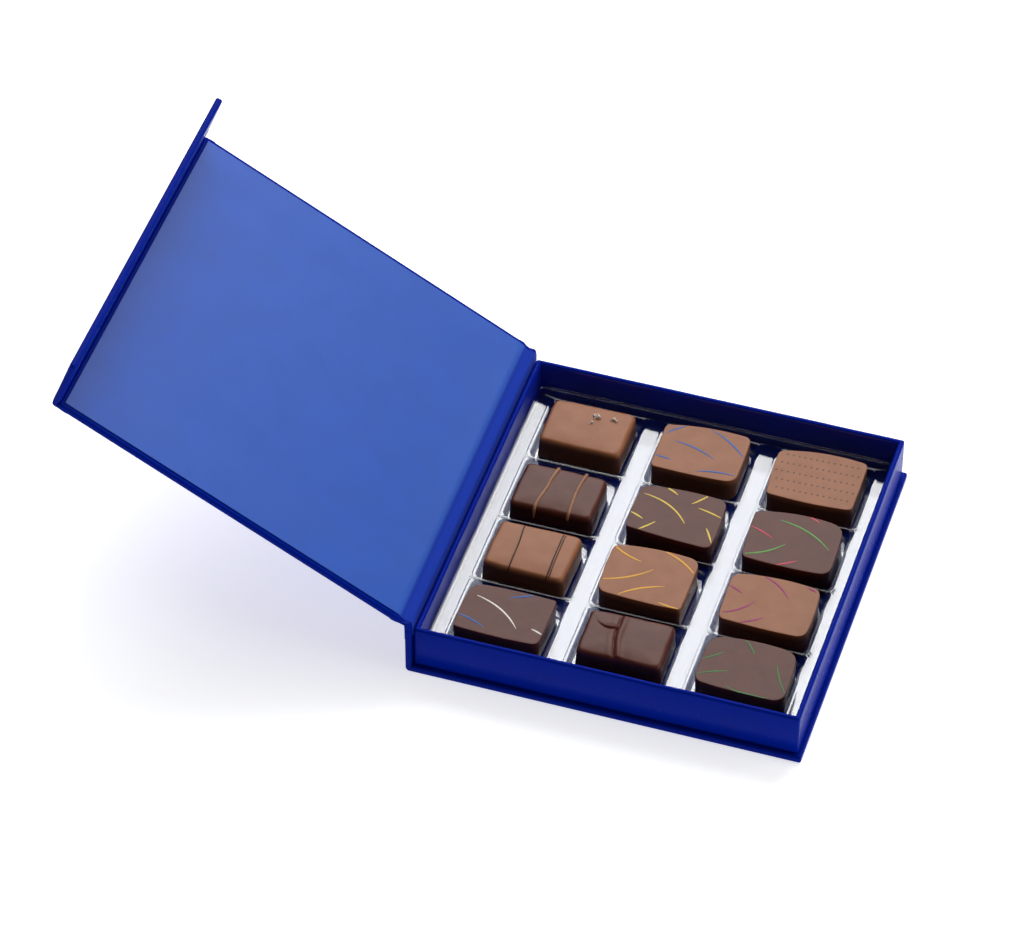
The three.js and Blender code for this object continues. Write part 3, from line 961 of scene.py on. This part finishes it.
def praline_rings(spec):
    """Rings from the foot to the middle of the top, in the praline's own millimetres."""
    rim = praline_outline(spec)
    inwards = inset_outline if spec["kind"] == "pressed" else shrunk_outline
    crown = 0.0 if spec["kind"] == "pressed" else CROWN
    levels = side_levels(spec)
    rings = [[Vector((p.x, p.y, height)) for p in inwards(rim, inset)] for inset, height in levels]
    edge = rings[-1]
    middle = sum(edge, Vector()) / len(edge)
    count = TOP_RINGS * (2 if spec.get("ripple") else 1)
    for k in range(1, count):
        f = 1 - k / count
        lift = Vector((0, 0, crown * (1 - f**3)))
        rings.append([middle + (p - middle) * f + lift for p in edge])
    return rings, middle + Vector((0, 0, crown))


def shape_praline(spec):
    """Builds one praline's body in the frame, with its uneven surface."""
    rings, peak = praline_rings(spec)
    count = len(rings[0])
    points = [p for ring in rings for p in ring] + [peak]
    faces = [tuple(reversed(range(count)))]
    for r in range(len(rings) - 1):
        for i in range(count):
            j = (i + 1) % count
            faces.append((r * count + i, r * count + j, (r + 1) * count + j, (r + 1) * count + i))
    last = (len(rings) - 1) * count
    faces += [(last + i, last + (i + 1) % count, len(points) - 1) for i in range(count)]
    dipped = spec["kind"] == "dipped"
    seed = Vector((7.0 * spec["cell"][0] + 31.0 * spec["cell"][1], 0, 0))
    sway = DIPPED_SWAY if dipped else PRESSED_SWAY
    place = praline_place(spec)
    moved = []
    for p in points:
        q = p.copy()
        if p.z > 0.3:
            wave = noise.noise_vector(p / 6.0 + seed) * sway
            q += Vector((wave.x, wave.y, 0.3 * wave.z))
        if spec.get("ripple") and p.z > PRALINE_HEIGHT - RIPPLE_DEPTH:
            q.z += fork_ripple(p.x, p.y) * min((p.z - PRALINE_HEIGHT + RIPPLE_DEPTH) / 1.2, 1)
        if p.z < FOOT_TOP:
            q.x = min(max(q.x, -FOOT_X - spec["shift"][0]), FOOT_X - spec["shift"][0])
            q.y = min(max(q.y, -FOOT_Y - spec["shift"][1]), FOOT_Y - spec["shift"][1])
        moved.append(tuple(place @ q))
    row, column = spec["cell"]
    coat = CHOCOLATE[spec["chocolate"]]
    body = make_piece(f"praline_{row}_{column}", moved, faces, coat, 60 if dipped else 38)
    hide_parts(f"praline_r{row}_c{column}")
    spec["chocolate"] + "_chocolate"
    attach(body, "box")
    return body


print("praline surface ready")

# %% [markdown]
# ## The twelve pralines
# One entry for each cell, from the back row to the front row and from the hinge to the opening side. Shifts
# and turns say how it sits in its pocket. Corners are given as X, Y and how far the rounding reaches, bows as
# how far the front, right, back and left sides swell. Each coloured stroke is given by its start, its end
# and how far its middle bends to the left.

# %% Praline list
PRALINES = [
    dict(
        cell=(1, 1), kind="dipped", chocolate="milk", shift=(-0.2, -0.9), turn=-0.6,
        corners=[(-14.7, -11.1, 2.0), (15.2, -11.1, 2.2), (15.0, 11.5, 2.4), (-15.0, 10.6, 1.6)],
        bows=(0.25, 0.3, 0.3, 0.2),
    ),
    dict(
        cell=(1, 2), kind="pressed", chocolate="milk", shift=(-0.2, -0.9), turn=0.3,
        corners=[(-15.2, -11.7, 1.5), (15.3, -11.4, 4.4), (15.1, 11.8, 2.6), (-15.6, 9.6, 1.8)],
        bows=(0.5, 0.2, 1.5, 0.1),
        strokes={
            "blue": [((-14.6, 5.2), (-7.7, 11.4), 0.3), ((-10.4, 2.5), (5.4, -2.4), 1.0),
                     ((0.7, 11.6), (15.6, 0.8), 1.05), ((-15.2, -6.2), (-9.1, -6.9), 0.1),
                     ((0.9, -9.8), (14.5, -8.1), 0.7)],
        },
    ),
    dict(
        cell=(1, 3), kind="pressed", chocolate="milk", shift=(0.0, -1.3), turn=1.6,
        corners=[(-15.5, -11.7, 1.5), (15.2, -12.0, 2.2), (15.7, 11.6, 2.0), (-16.1, 9.9, 2.2)],
        bows=(0.9, 0.1, 2.0, 0.4),
    ),
    dict(
        cell=(2, 1), kind="dipped", chocolate="dark", shift=(-0.4, -2.0), turn=0.4,
        corners=[(-14.9, -11.6, 1.8), (15.0, -11.9, 2.2), (15.1, 9.6, 2.0), (-14.6, 9.8, 1.6)],
        bows=(0.2, 0.3, 0.3, 0.2),
        lines=[(-3.0, -4.1, -5.5, 5.6, 0.56), (7.2, 6.4, 6.7, 3.4, 0.56)], line_ink="caramel",
    ),
    dict(
        cell=(2, 2), kind="pressed", chocolate="dark", shift=(0.0, -2.0), turn=0.7,
        corners=[(-15.3, -10.5, 1.4), (15.6, -13.0, 3.0), (15.6, 11.0, 3.4), (-14.8, 10.3, 2.4)],
        bows=(0.4, 0.5, 1.4, 0.5),
        strokes={
            "yellow": [((-13.3, 6.5), (4.1, -3.7), 2.3), ((-6.9, 11.7), (-1.8, 9.1), 0.2),
                       ((8.7, 12.0), (3.9, 6.3), 0.2), ((6.8, 5.0), (15.8, 2.5), 0.2),
                       ((-15.5, -3.3), (-10.5, -5.5), 0.1), ((-5.9, -5.6), (-11.0, -11.1), 0.2),
                       ((11.9, -3.6), (15.4, -10.0), 0.1)],
        },
    ),
    dict(
        cell=(2, 3), kind="pressed", chocolate="dark", shift=(-0.3, -1.9), turn=1.0,
        corners=[(-15.0, -12.3, 2.0), (16.2, -12.8, 4.0), (15.8, 11.1, 4.6), (-15.6, 10.2, 2.8)],
        bows=(0.8, 0.4, 2.1, 0.3),
        strokes={
            "green": [((-6.2, 8.2), (13.3, -1.2), 1.9), ((-15.6, -11.2), (-1.8, -2.7), -1.4)],
            "red": [((-15.7, 2.8), (-6.6, -1.2), 0.3), ((2.3, 12.8), (7.1, 10.7), 0.2),
                    ((-2.9, -13.2), (4.0, -9.3), -0.2)],
        },
    ),
    dict(
        cell=(3, 1), kind="dipped", chocolate="milk", shift=(-0.5, -2.0), turn=-1.2,
        corners=[(-14.6, -11.2, 1.8), (14.8, -11.5, 2.0), (15.0, 11.4, 2.8), (-14.6, 10.6, 1.8)],
        bows=(0.25, 0.2, 0.2, 0.2),
        lines=[(-5.9, -5.0, -4.8, 3.6, 0.24), (8.3, 8.5, 8.9, 3.2, 0.22), (9.1, 9.3, 9.7, 0.0, 0.16)],
        line_ink="umber",
    ),
    dict(
        cell=(3, 2), kind="pressed", chocolate="milk", shift=(-0.3, -1.5), turn=0.9,
        corners=[(-15.3, -12.2, 3.2), (14.3, -13.4, 1.4), (15.0, 11.2, 4.2), (-15.7, 10.5, 2.6)],
        bows=(0.5, 0.0, 1.4, 0.5),
        strokes={
            "orange": [((-15.8, 10.2), (-4.5, 5.0), -0.8), ((-16.6, -6.9), (0.5, 2.5), -1.5),
                       ((-8.6, -12.6), (6.4, -4.2), 1.1), ((1.0, 12.3), (15.2, 3.6), 1.3),
                       ((6.2, -11.9), (13.8, -12.9), -0.3)],
        },
    ),
    dict(
        cell=(3, 3), kind="pressed", chocolate="milk", shift=(0.0, -1.9), turn=1.4,
        corners=[(-15.1, -11.5, 2.4), (15.6, -12.8, 3.8), (15.8, 10.6, 3.2), (-15.2, 10.1, 3.2)],
        bows=(0.5, 0.6, 1.6, 0.1),
        strokes={
            "magenta": [((-6.1, 12.0), (6.0, 3.4), 1.5), ((-15.4, 4.4), (-9.6, 1.5), 0.2),
                        ((-15.6, -9.2), (-4.6, -0.7), -1.4), ((-8.3, -12.2), (0.0, -7.5), -0.3),
                        ((11.0, 10.6), (14.6, 9.0), 0.1)],
        },
    ),
    dict(
        cell=(4, 1), kind="pressed", chocolate="dark", shift=(0.0, -1.9), turn=-0.3,
        corners=[(-15.3, -11.9, 1.5), (15.0, -12.0, 2.6), (15.2, 9.8, 1.4), (-14.8, 9.3, 4.6)],
        bows=(0.6, 0.1, 0.6, 0.6),
        strokes={
            "white": [((-11.7, 4.0), (5.7, -6.8), 1.85), ((10.8, -5.4), (15.2, -7.0), 0.1)],
            "blue": [((-1.1, 6.2), (8.0, 10.4), -0.2), ((-16.2, -5.8), (-5.1, -9.4), 0.4)],
        },
    ),
    dict(
        cell=(4, 2), kind="dipped", chocolate="dark", shift=(0.2, -1.1), turn=0.6,
        corners=[(-14.8, -10.7, 1.8), (15.3, -10.9, 2.0), (15.0, 10.6, 1.8), (-15.0, 10.3, 1.6)],
        bows=(0.2, 0.2, 0.2, 0.2), ripple=True,
    ),
    dict(
        cell=(4, 3), kind="pressed", chocolate="dark", shift=(0.2, -1.5), turn=1.0,
        corners=[(-15.0, -11.2, 3.4), (16.4, -12.8, 4.8), (16.0, 10.3, 4.8), (-14.5, 10.0, 4.8)],
        bows=(0.6, 0.4, 1.7, 0.3),
        strokes={
            "moss": [((-2.8, 11.6), (1.9, 5.7), 0.3), ((-14.8, -1.2), (-8.2, 4.0), -0.2),
                      ((-15.6, -8.6), (-4.7, -4.0), 0.35), ((10.4, 3.5), (16.4, -8.9), -0.6),
                      ((-3.9, -11.0), (11.2, -12.2), -1.0)],
        },
    ),
]
bodies = {spec["cell"]: shape_praline(spec) for spec in PRALINES}
print(len(bodies), "pralines,", sum(len(body.data.polygons) for body in bodies.values()), "faces")

# %% [markdown]
# ## Strokes and piped lines
# A transfer sheet left thin curved strokes of coloured cocoa butter on the pressed tops, and two of the
# dipped pralines have piped lines. Both follow a path, so one Geometry Nodes tree makes them: it takes
# plain edges with a width on each point, turns them into a curve, sweeps a round section along it, and
# flattens what it made towards the praline's top by the chosen amount.

# %% Path tree


def new_tree(name, **sockets):
    """A tree with those named inputs, and one output of geometry."""
    tree = bpy.data.node_groups.new(name, "GeometryNodeTree")
    for socket, kind in sockets.items():
        tree.interface.new_socket(socket, in_out="INPUT", socket_type="NodeSocket" + kind)
    tree.interface.new_socket("Result", in_out="OUTPUT", socket_type="NodeSocketGeometry")
    return tree, tree.nodes.new("NodeGroupInput").outputs


def ended_tree(tree, geometry, finish):
    """Realizes the instances, sets the material and links the output."""
    real = add_node(tree, "GeometryNodeRealizeInstances", inputs={0: geometry})
    painted = add_node(tree, "GeometryNodeSetMaterial",
                       inputs={"Geometry": real.outputs[0], "Material": finish})
    out = tree.nodes.new("NodeGroupOutput")
    tree.links.new(painted.outputs[0], out.inputs[0])
    return tree


def path_tree():
    """Sweeps a round section along the path and flattens it towards a level."""
    tree, given = new_tree(
        "bead along path", Path="Geometry", Sides="Int", Level="Float", Flatness="Float", Finish="Material"
    )
    curve = add_node(tree, "GeometryNodeMeshToCurve", inputs={"Mesh": given["Path"]})
    width = add_node(tree, "GeometryNodeInputNamedAttribute", {"data_type": "FLOAT"}, {"Name": "half_width"})
    section = add_node(tree, "GeometryNodeCurvePrimitiveCircle",
                       inputs={"Resolution": given["Sides"], "Radius": 1.0})
    swept = add_node(tree, "GeometryNodeCurveToMesh",
                     inputs={"Curve": curve.outputs[0], "Profile Curve": section.outputs[0],
                             "Scale": width.outputs["Attribute"], "Fill Caps": True})
    place = add_node(tree, "GeometryNodeInputPosition")
    parts = add_node(tree, "ShaderNodeSeparateXYZ", inputs={0: place.outputs[0]})
    above = add_node(tree, "ShaderNodeMath", {"operation": "SUBTRACT"},
                     {0: parts.outputs["Z"], 1: given["Level"]})
    flat = add_node(tree, "ShaderNodeMath", {"operation": "MULTIPLY_ADD"},
                    {0: above.outputs[0], 1: given["Flatness"], 2: given["Level"]})
    lowered = add_node(tree, "ShaderNodeCombineXYZ",
                       inputs={"X": parts.outputs["X"], "Y": parts.outputs["Y"], "Z": flat.outputs[0]})
    pressed = add_node(tree, "GeometryNodeSetPosition",
                       inputs={"Geometry": swept.outputs[0], "Position": lowered.outputs[0]})
    return ended_tree(tree, pressed.outputs[0], given["Finish"])


def grown_by(tree, source, **values):
    """Runs a Geometry Nodes tree on a source object and returns the result as a plain mesh piece."""
    modifier = source.modifiers.new("nodes", "NODES")
    modifier.node_group = tree
    for item in tree.interface.items_tree:
        if item.in_out == "INPUT" and item.name in values:
            modifier[item.identifier] = values[item.name]
    applied(source)
    clean_mesh(source.data, MERGE / 10)
    return source


def holder_of(name, points, edges, widths):
    """What a tree starts from: points and edges, with a half width on each point."""
    mesh = bpy.data.meshes.new(name)
    mesh.from_pydata(points, edges, [])
    mesh.attributes.new("half_width", "FLOAT", "POINT").data.foreach_set("value", widths)
    return in_scene(name, mesh)


def path_object(name, paths):
    """Edges for the tree; each path is a list of (point in the frame, half width in metres)."""
    points, edges, widths = [], [], []
    for path in paths:
        first = len(points)
        points += [tuple(point) for point, _ in path]
        widths += [half for _, half in path]
        edges += [(first + k, first + k + 1) for k in range(len(path) - 1)]
    return holder_of(name, points, edges, widths)


bead_tree = path_tree()
print("path tree", len(bead_tree.nodes), "nodes")

# %% Cocoa butter colours


def ink(name, colour):
    """Coloured cocoa butter: satin and a little mottled."""
    paint = Finish(name)
    mottled = paint.blend(paint.noise(1.2), colour, toned(colour, 1.15, 0.01))
    relief = paint.bump(paint.noise(0.4), 0.01)
    satin = 0.42 + 0.05 * paint.noise(2)
    return paint.surface(Base_Color=mottled, Roughness=satin, Specular_IOR_Level=0.3, Normal=relief)


INKS = {
    "blue": ink("blue cocoa butter", (0.020, 0.115, 0.40, 1)),
    "yellow": ink("yellow cocoa butter", (0.80, 0.58, 0.07, 1)),
    "green": ink("green cocoa butter", (0.10, 0.36, 0.06, 1)),
    "moss": ink("deep green cocoa butter", (0.045, 0.17, 0.03, 1)),
    "red": ink("red cocoa butter", (0.62, 0.05, 0.10, 1)),
    "orange": ink("orange cocoa butter", (0.83, 0.42, 0.025, 1)),
    "magenta": ink("magenta cocoa butter", (0.32, 0.004, 0.14, 1)),
    "white": ink("white cocoa butter", (0.86, 0.80, 0.74, 1)),
    "caramel": ink("caramel line", (0.32, 0.150, 0.070, 1)),
    "umber": ink("dark piped line", (0.035, 0.010, 0.006, 1)),
}
print(len(INKS), "colours ready")

# %% Coloured strokes
STROKE_HALF = 0.36
STROKE_RISE = 0.012


def inside_top(spec, x, y, margin=0.3):
    """True where a point in mm still lies on the flat of the top."""
    rim = inset_outline(praline_outline(spec), margin)
    inside = False
    for p, q in zip(rim, rim[1:] + rim[:1]):
        if (p.y > y) != (q.y > y) and x < p.x + (y - p.y) * (q.x - p.x) / (q.y - p.y):
            inside = not inside
    return inside


def stroke_path(spec, start, end, bend, steps=22):
    """An arc that thins towards its ends and stops where the top ends."""
    a, b = Vector(start), Vector(end)
    side = Vector((a.y - b.y, b.x - a.x)).normalized()
    place = praline_place(spec)
    path = []
    for i in range(steps + 1):
        t = i / steps
        p = a.lerp(b, t) + side * (bend * 4 * t * (1 - t))
        if not inside_top(spec, p.x, p.y):
            continue
        half = STROKE_HALF * (0.16 + 0.84 * math.sin(math.pi * min(max(t, 0.02), 0.98)) ** 0.6)
        path.append((place @ Vector((p.x, p.y, PRALINE_HEIGHT + STROKE_RISE)), half * MM))
    return path


def painted(spec, name, paths, finish, **how):
    """Runs the bead tree along the paths and attaches the result to the box."""
    piece = grown_by(bead_tree, path_object(name, paths), Finish=finish, **how)
    spec["chocolate"] + "_chocolate"
    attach(piece, "box")
    print(piece.name, len(piece.data.polygons), "faces")


for spec in PRALINES:
    for colour, strokes in spec.get("strokes", {}).items():
        paths = [stroke_path(spec, *stroke) for stroke in strokes]
        paths = [path for path in paths if len(path) > 2]
        name = "strokes_%d_%d_%s" % (*spec["cell"], colour)
        level = (PRALINE_FOOT + PRALINE_HEIGHT + STROKE_RISE) * MM
        painted(spec, name, paths, INKS[colour], Sides=8, Level=level, Flatness=0.14)

# %% Piped lines


def piped_path(spec, back, middle, front, drop, radius):
    """Over the top from back to front and a little way down the front side, in mm."""
    back_y = spec["corners"][3][1]
    front_y = spec["corners"][0][1]
    sunk = 0.45 * radius
    route = [(back, back_y + 0.1, -1.5), (back, back_y - 0.5, -0.5), (back, back_y - 2.2, 0.0),
             (0.75 * middle + 0.25 * back, 2.5, 0.0), (0.9 * middle + 0.1 * front, -2.5, 0.0),
             (front, front_y + 2.2, 0.0), (front, front_y + 0.5, -0.5), (front - 0.1, front_y - 0.1, -1.6)]
    if drop > 1.6:
        route.append((front - 0.2, front_y - 0.1, -drop))
    points = [Vector((x, y, PRALINE_HEIGHT + z - sunk)) for x, y, z in route]
    dense = smooth_path(points, steps=8)
    for p in dense:
        p.z += crown_lift(spec, p.x, p.y)
    place = praline_place(spec)
    path = []
    for k, p in enumerate(dense):
        fade = min(1.0, (len(dense) - k) / 7, (k + 2) / 4)
        uneven = 1 + 0.25 * noise.noise(p / 2.4)
        path.append((place @ p, radius * uneven * fade * MM))
    return path


for spec in PRALINES:
    if "lines" in spec:
        paths = [piped_path(spec, *line) for line in spec["lines"]]
        name = "piped_lines_%d_%d" % spec["cell"]
        painted(spec, name, paths, INKS[spec["line_ink"]], Sides=12, Level=0.0, Flatness=1.0)

# %% [markdown]
# ## Salt and fine dots
# One praline carries a few coarse salt crystals, another a plain tone on tone print, here rows of small
# dots. Both are one small shape repeated on points, so a second tree places copies with a seeded turn.

# %% Scatter tree


def scatter_tree():
    """Copies a shape onto points, each turned at random and scaled by its point."""
    tree, given = new_tree(
        "copies on points", Points="Geometry", Shape="Object", Turn="Float", Seed="Int", Finish="Material"
    )
    shape = add_node(tree, "GeometryNodeObjectInfo", inputs={"Object": given["Shape"]})
    most = add_node(tree, "ShaderNodeCombineXYZ",
                    inputs={"X": given["Turn"], "Y": given["Turn"], "Z": given["Turn"]})
    turn = add_node(tree, "FunctionNodeRandomValue", {"data_type": "FLOAT_VECTOR"},
                    {"Min": (0, 0, 0), "Max": most.outputs[0], "Seed": given["Seed"]})
    size = add_node(tree, "GeometryNodeInputNamedAttribute", {"data_type": "FLOAT"}, {"Name": "half_width"})
    copies = add_node(tree, "GeometryNodeInstanceOnPoints",
                      inputs={"Points": given["Points"], "Instance": shape.outputs["Geometry"],
                              "Rotation": turn.outputs["Value"], "Scale": size.outputs["Attribute"]})
    return ended_tree(tree, copies.outputs[0], given["Finish"])


copies_tree = scatter_tree()
print("scatter tree", len(copies_tree.nodes), "nodes")

# %% Salt and dots


def shape_source(name, build):
    """A small shape of size 1 that the tree copies; it is deleted afterwards."""
    mesh = bpy.data.meshes.new(name)
    work = bmesh.new()
    build(work)
    work.to_mesh(mesh)
    work.free()
    return in_scene(name, mesh)


def crystal(work):
    """A chipped salt grain: a coarse ball whose points are pushed about and then flattened."""
    bmesh.ops.create_icosphere(work, subdivisions=2, radius=1.0)
    for vertex in work.verts:
        chip = noise.noise(vertex.co * 1.7 + Vector((4.0, 1.0, 2.0)))
        vertex.co *= 1 + 0.55 * chip
        vertex.co = Vector([round(value * 2.2) / 2.2 * 0.5 + value * 0.5 for value in vertex.co])


def dot(work):
    """A flat dot with a slanted edge."""
    bmesh.ops.create_cone(work, cap_ends=True, segments=14, radius1=1.0, radius2=0.8, depth=0.16)


def scattered(name, spots, spec, build, turn, seed, finish):
    """Copies of one small shape at spots (x, y, height, size) on a praline's top, in mm."""
    place = praline_place(spec)
    places = [tuple(place @ Vector((x, y, PRALINE_HEIGHT + z))) for x, y, z, _ in spots]
    holder = holder_of(name, places, [], [size * MM for *_, size in spots])
    source = shape_source(name + "_source", build)
    piece = grown_by(copies_tree, holder, Shape=source, Turn=turn, Seed=seed, Finish=finish)
    bpy.data.objects.remove(source)
    piece.data.set_sharp_from_angle(angle=math.radians(25))
    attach(piece, "box")
    return piece


by_cell = {spec["cell"]: spec for spec in PRALINES}
salt = Finish("salt crystal")
salt_colour = salt.blend(salt.noise(0.6), (0.62, 0.38, 0.25, 1), (0.95, 0.86, 0.78, 1))
salt_finish = salt.surface(
    Base_Color=salt_colour, Roughness=0.2 + 0.1 * salt.noise(0.5), IOR=1.54, Transmission_Weight=0.2
)
grains = [(2.7, 5.2, 0.3, 0.95), (1.3, 5.7, 0.25, 0.7), (2.1, 6.6, 0.2, 0.5), (1.5, 4.3, 0.2, 0.45),
          (1.3, 2.1, 0.25, 0.62), (0.6, 1.3, 0.15, 0.36), (8.2, 5.9, 0.3, 0.75), (9.3, 5.2, 0.2, 0.5),
          (7.5, 5.2, 0.15, 0.38)]
scattered("salt_crystals", grains, by_cell[(1, 1)], crystal, 6.28, 4, salt_finish)

tone = ink("tone on tone print", (0.105, 0.036, 0.016, 1))
DOT_PITCH, LINE_PITCH = 2.116, 4.2
DOT_SIZE = 0.46
dots = []
for line in range(-2, 3):
    for k in range(-7, 8):
        x = (k + 0.5 * (line % 2)) * DOT_PITCH
        y = line * LINE_PITCH + 0.4
        if inside_top(by_cell[(1, 3)], x, y, 1.2):
            dots.append((x, y, 0.0, DOT_SIZE))
scattered("print_dots", dots, by_cell[(1, 3)], dot, 0.0, 1, tone)
print(len(grains), "salt grains and", len(dots), "dots")

# %% [markdown]
# ## Fixing the pieces to their bodies
# Boards and tray move with the body they belong to. The insert gets its thickness last, because its rings
# describe only the upper face.

# %% Riding
thickness = insert.modifiers.new("film thickness", "SOLIDIFY")
thickness.thickness = FILM
thickness.offset = -1.0
thickness.use_even_offset = True
applied(insert)
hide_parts("clear_insert")
for piece, body in ((case, "box"), (tray, "box"), (insert, "box"), (lid_board, "lid"), (flap_board, "flap")):
    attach(piece, body)
print("insert", len(insert.data.polygons), "faces")

# %% [markdown]
# ## Stage
# A pale floor, a key and a wide soft lamp behind the box that shine over it towards the camera, a weak one
# above, one at the right, and a faint even light from all round. The lamps behind give the chocolate its haze
# and the clear insert its white reflections. The wide one ends at the right just where the lining would
# mirror it, so the lid's sheen fades towards the hinge.

# %% Floor, lamps and camera
bpy.ops.mesh.primitive_plane_add(size=8)
floor = bpy.context.object
floor.name = "floor"
pale = Finish("pale floor")
speck = pale.blend(pale.noise(400), (0.86, 0.86, 0.86, 1), (0.88, 0.88, 0.88, 1))
floor.data.materials.append(
    pale.surface(Base_Color=speck, Roughness=0.9, Emission_Color=(1, 1, 1, 1), Emission_Strength=0.65)
)


def soft_lamp(name, direction, distance, width, height, brightness, aim=(0, 0, 0)):
    """A rectangular area lamp of a given surface brightness that faces the box."""
    data = bpy.data.lights.new(name, "AREA")
    data.shape = "RECTANGLE"
    data.size, data.size_y = width, height
    data.energy = brightness * math.pi * width * height
    lamp = in_scene(name, data)
    lamp.location = Vector(aim) + Vector(direction).normalized() * distance
    lamp.rotation_euler = Vector(direction).to_track_quat("Z", "Y").to_euler()


soft_lamp("key lamp", (-0.12, 0.68, 0.70), 2.2, 1.7, 1.2, 2.9)
soft_lamp("wide lamp", (0.15, 0.72, 0.66), 2.6, 3.1, 2.4, 2.0, aim=(-0.734, 0.153, 0))
soft_lamp("top lamp", (-0.12, 0.05, 1.0), 2.4, 1.5, 0.9, 1.0)
soft_lamp("side lamp", (0.86, 0.22, 0.46), 2.2, 1.8, 1.5, 2.0)

world = bpy.data.worlds.new("room")
world.use_nodes = True
background = world.node_tree.nodes["Background"]
background.inputs["Color"].default_value = (1, 1, 1, 1)
background.inputs["Strength"].default_value = 0.07
scene.world = world
scene.view_settings.view_transform = "Standard"

camera_data = bpy.data.cameras.new("camera")
camera_data.lens = 178.54
camera_data.sensor_width = 36
camera = in_scene("camera", camera_data)
camera.location = (0.32226, -1.17911, 1.27440)
camera.rotation_euler = (math.radians(45.01), 0, math.radians(17.71))
scene.camera = camera
print("stage ready")
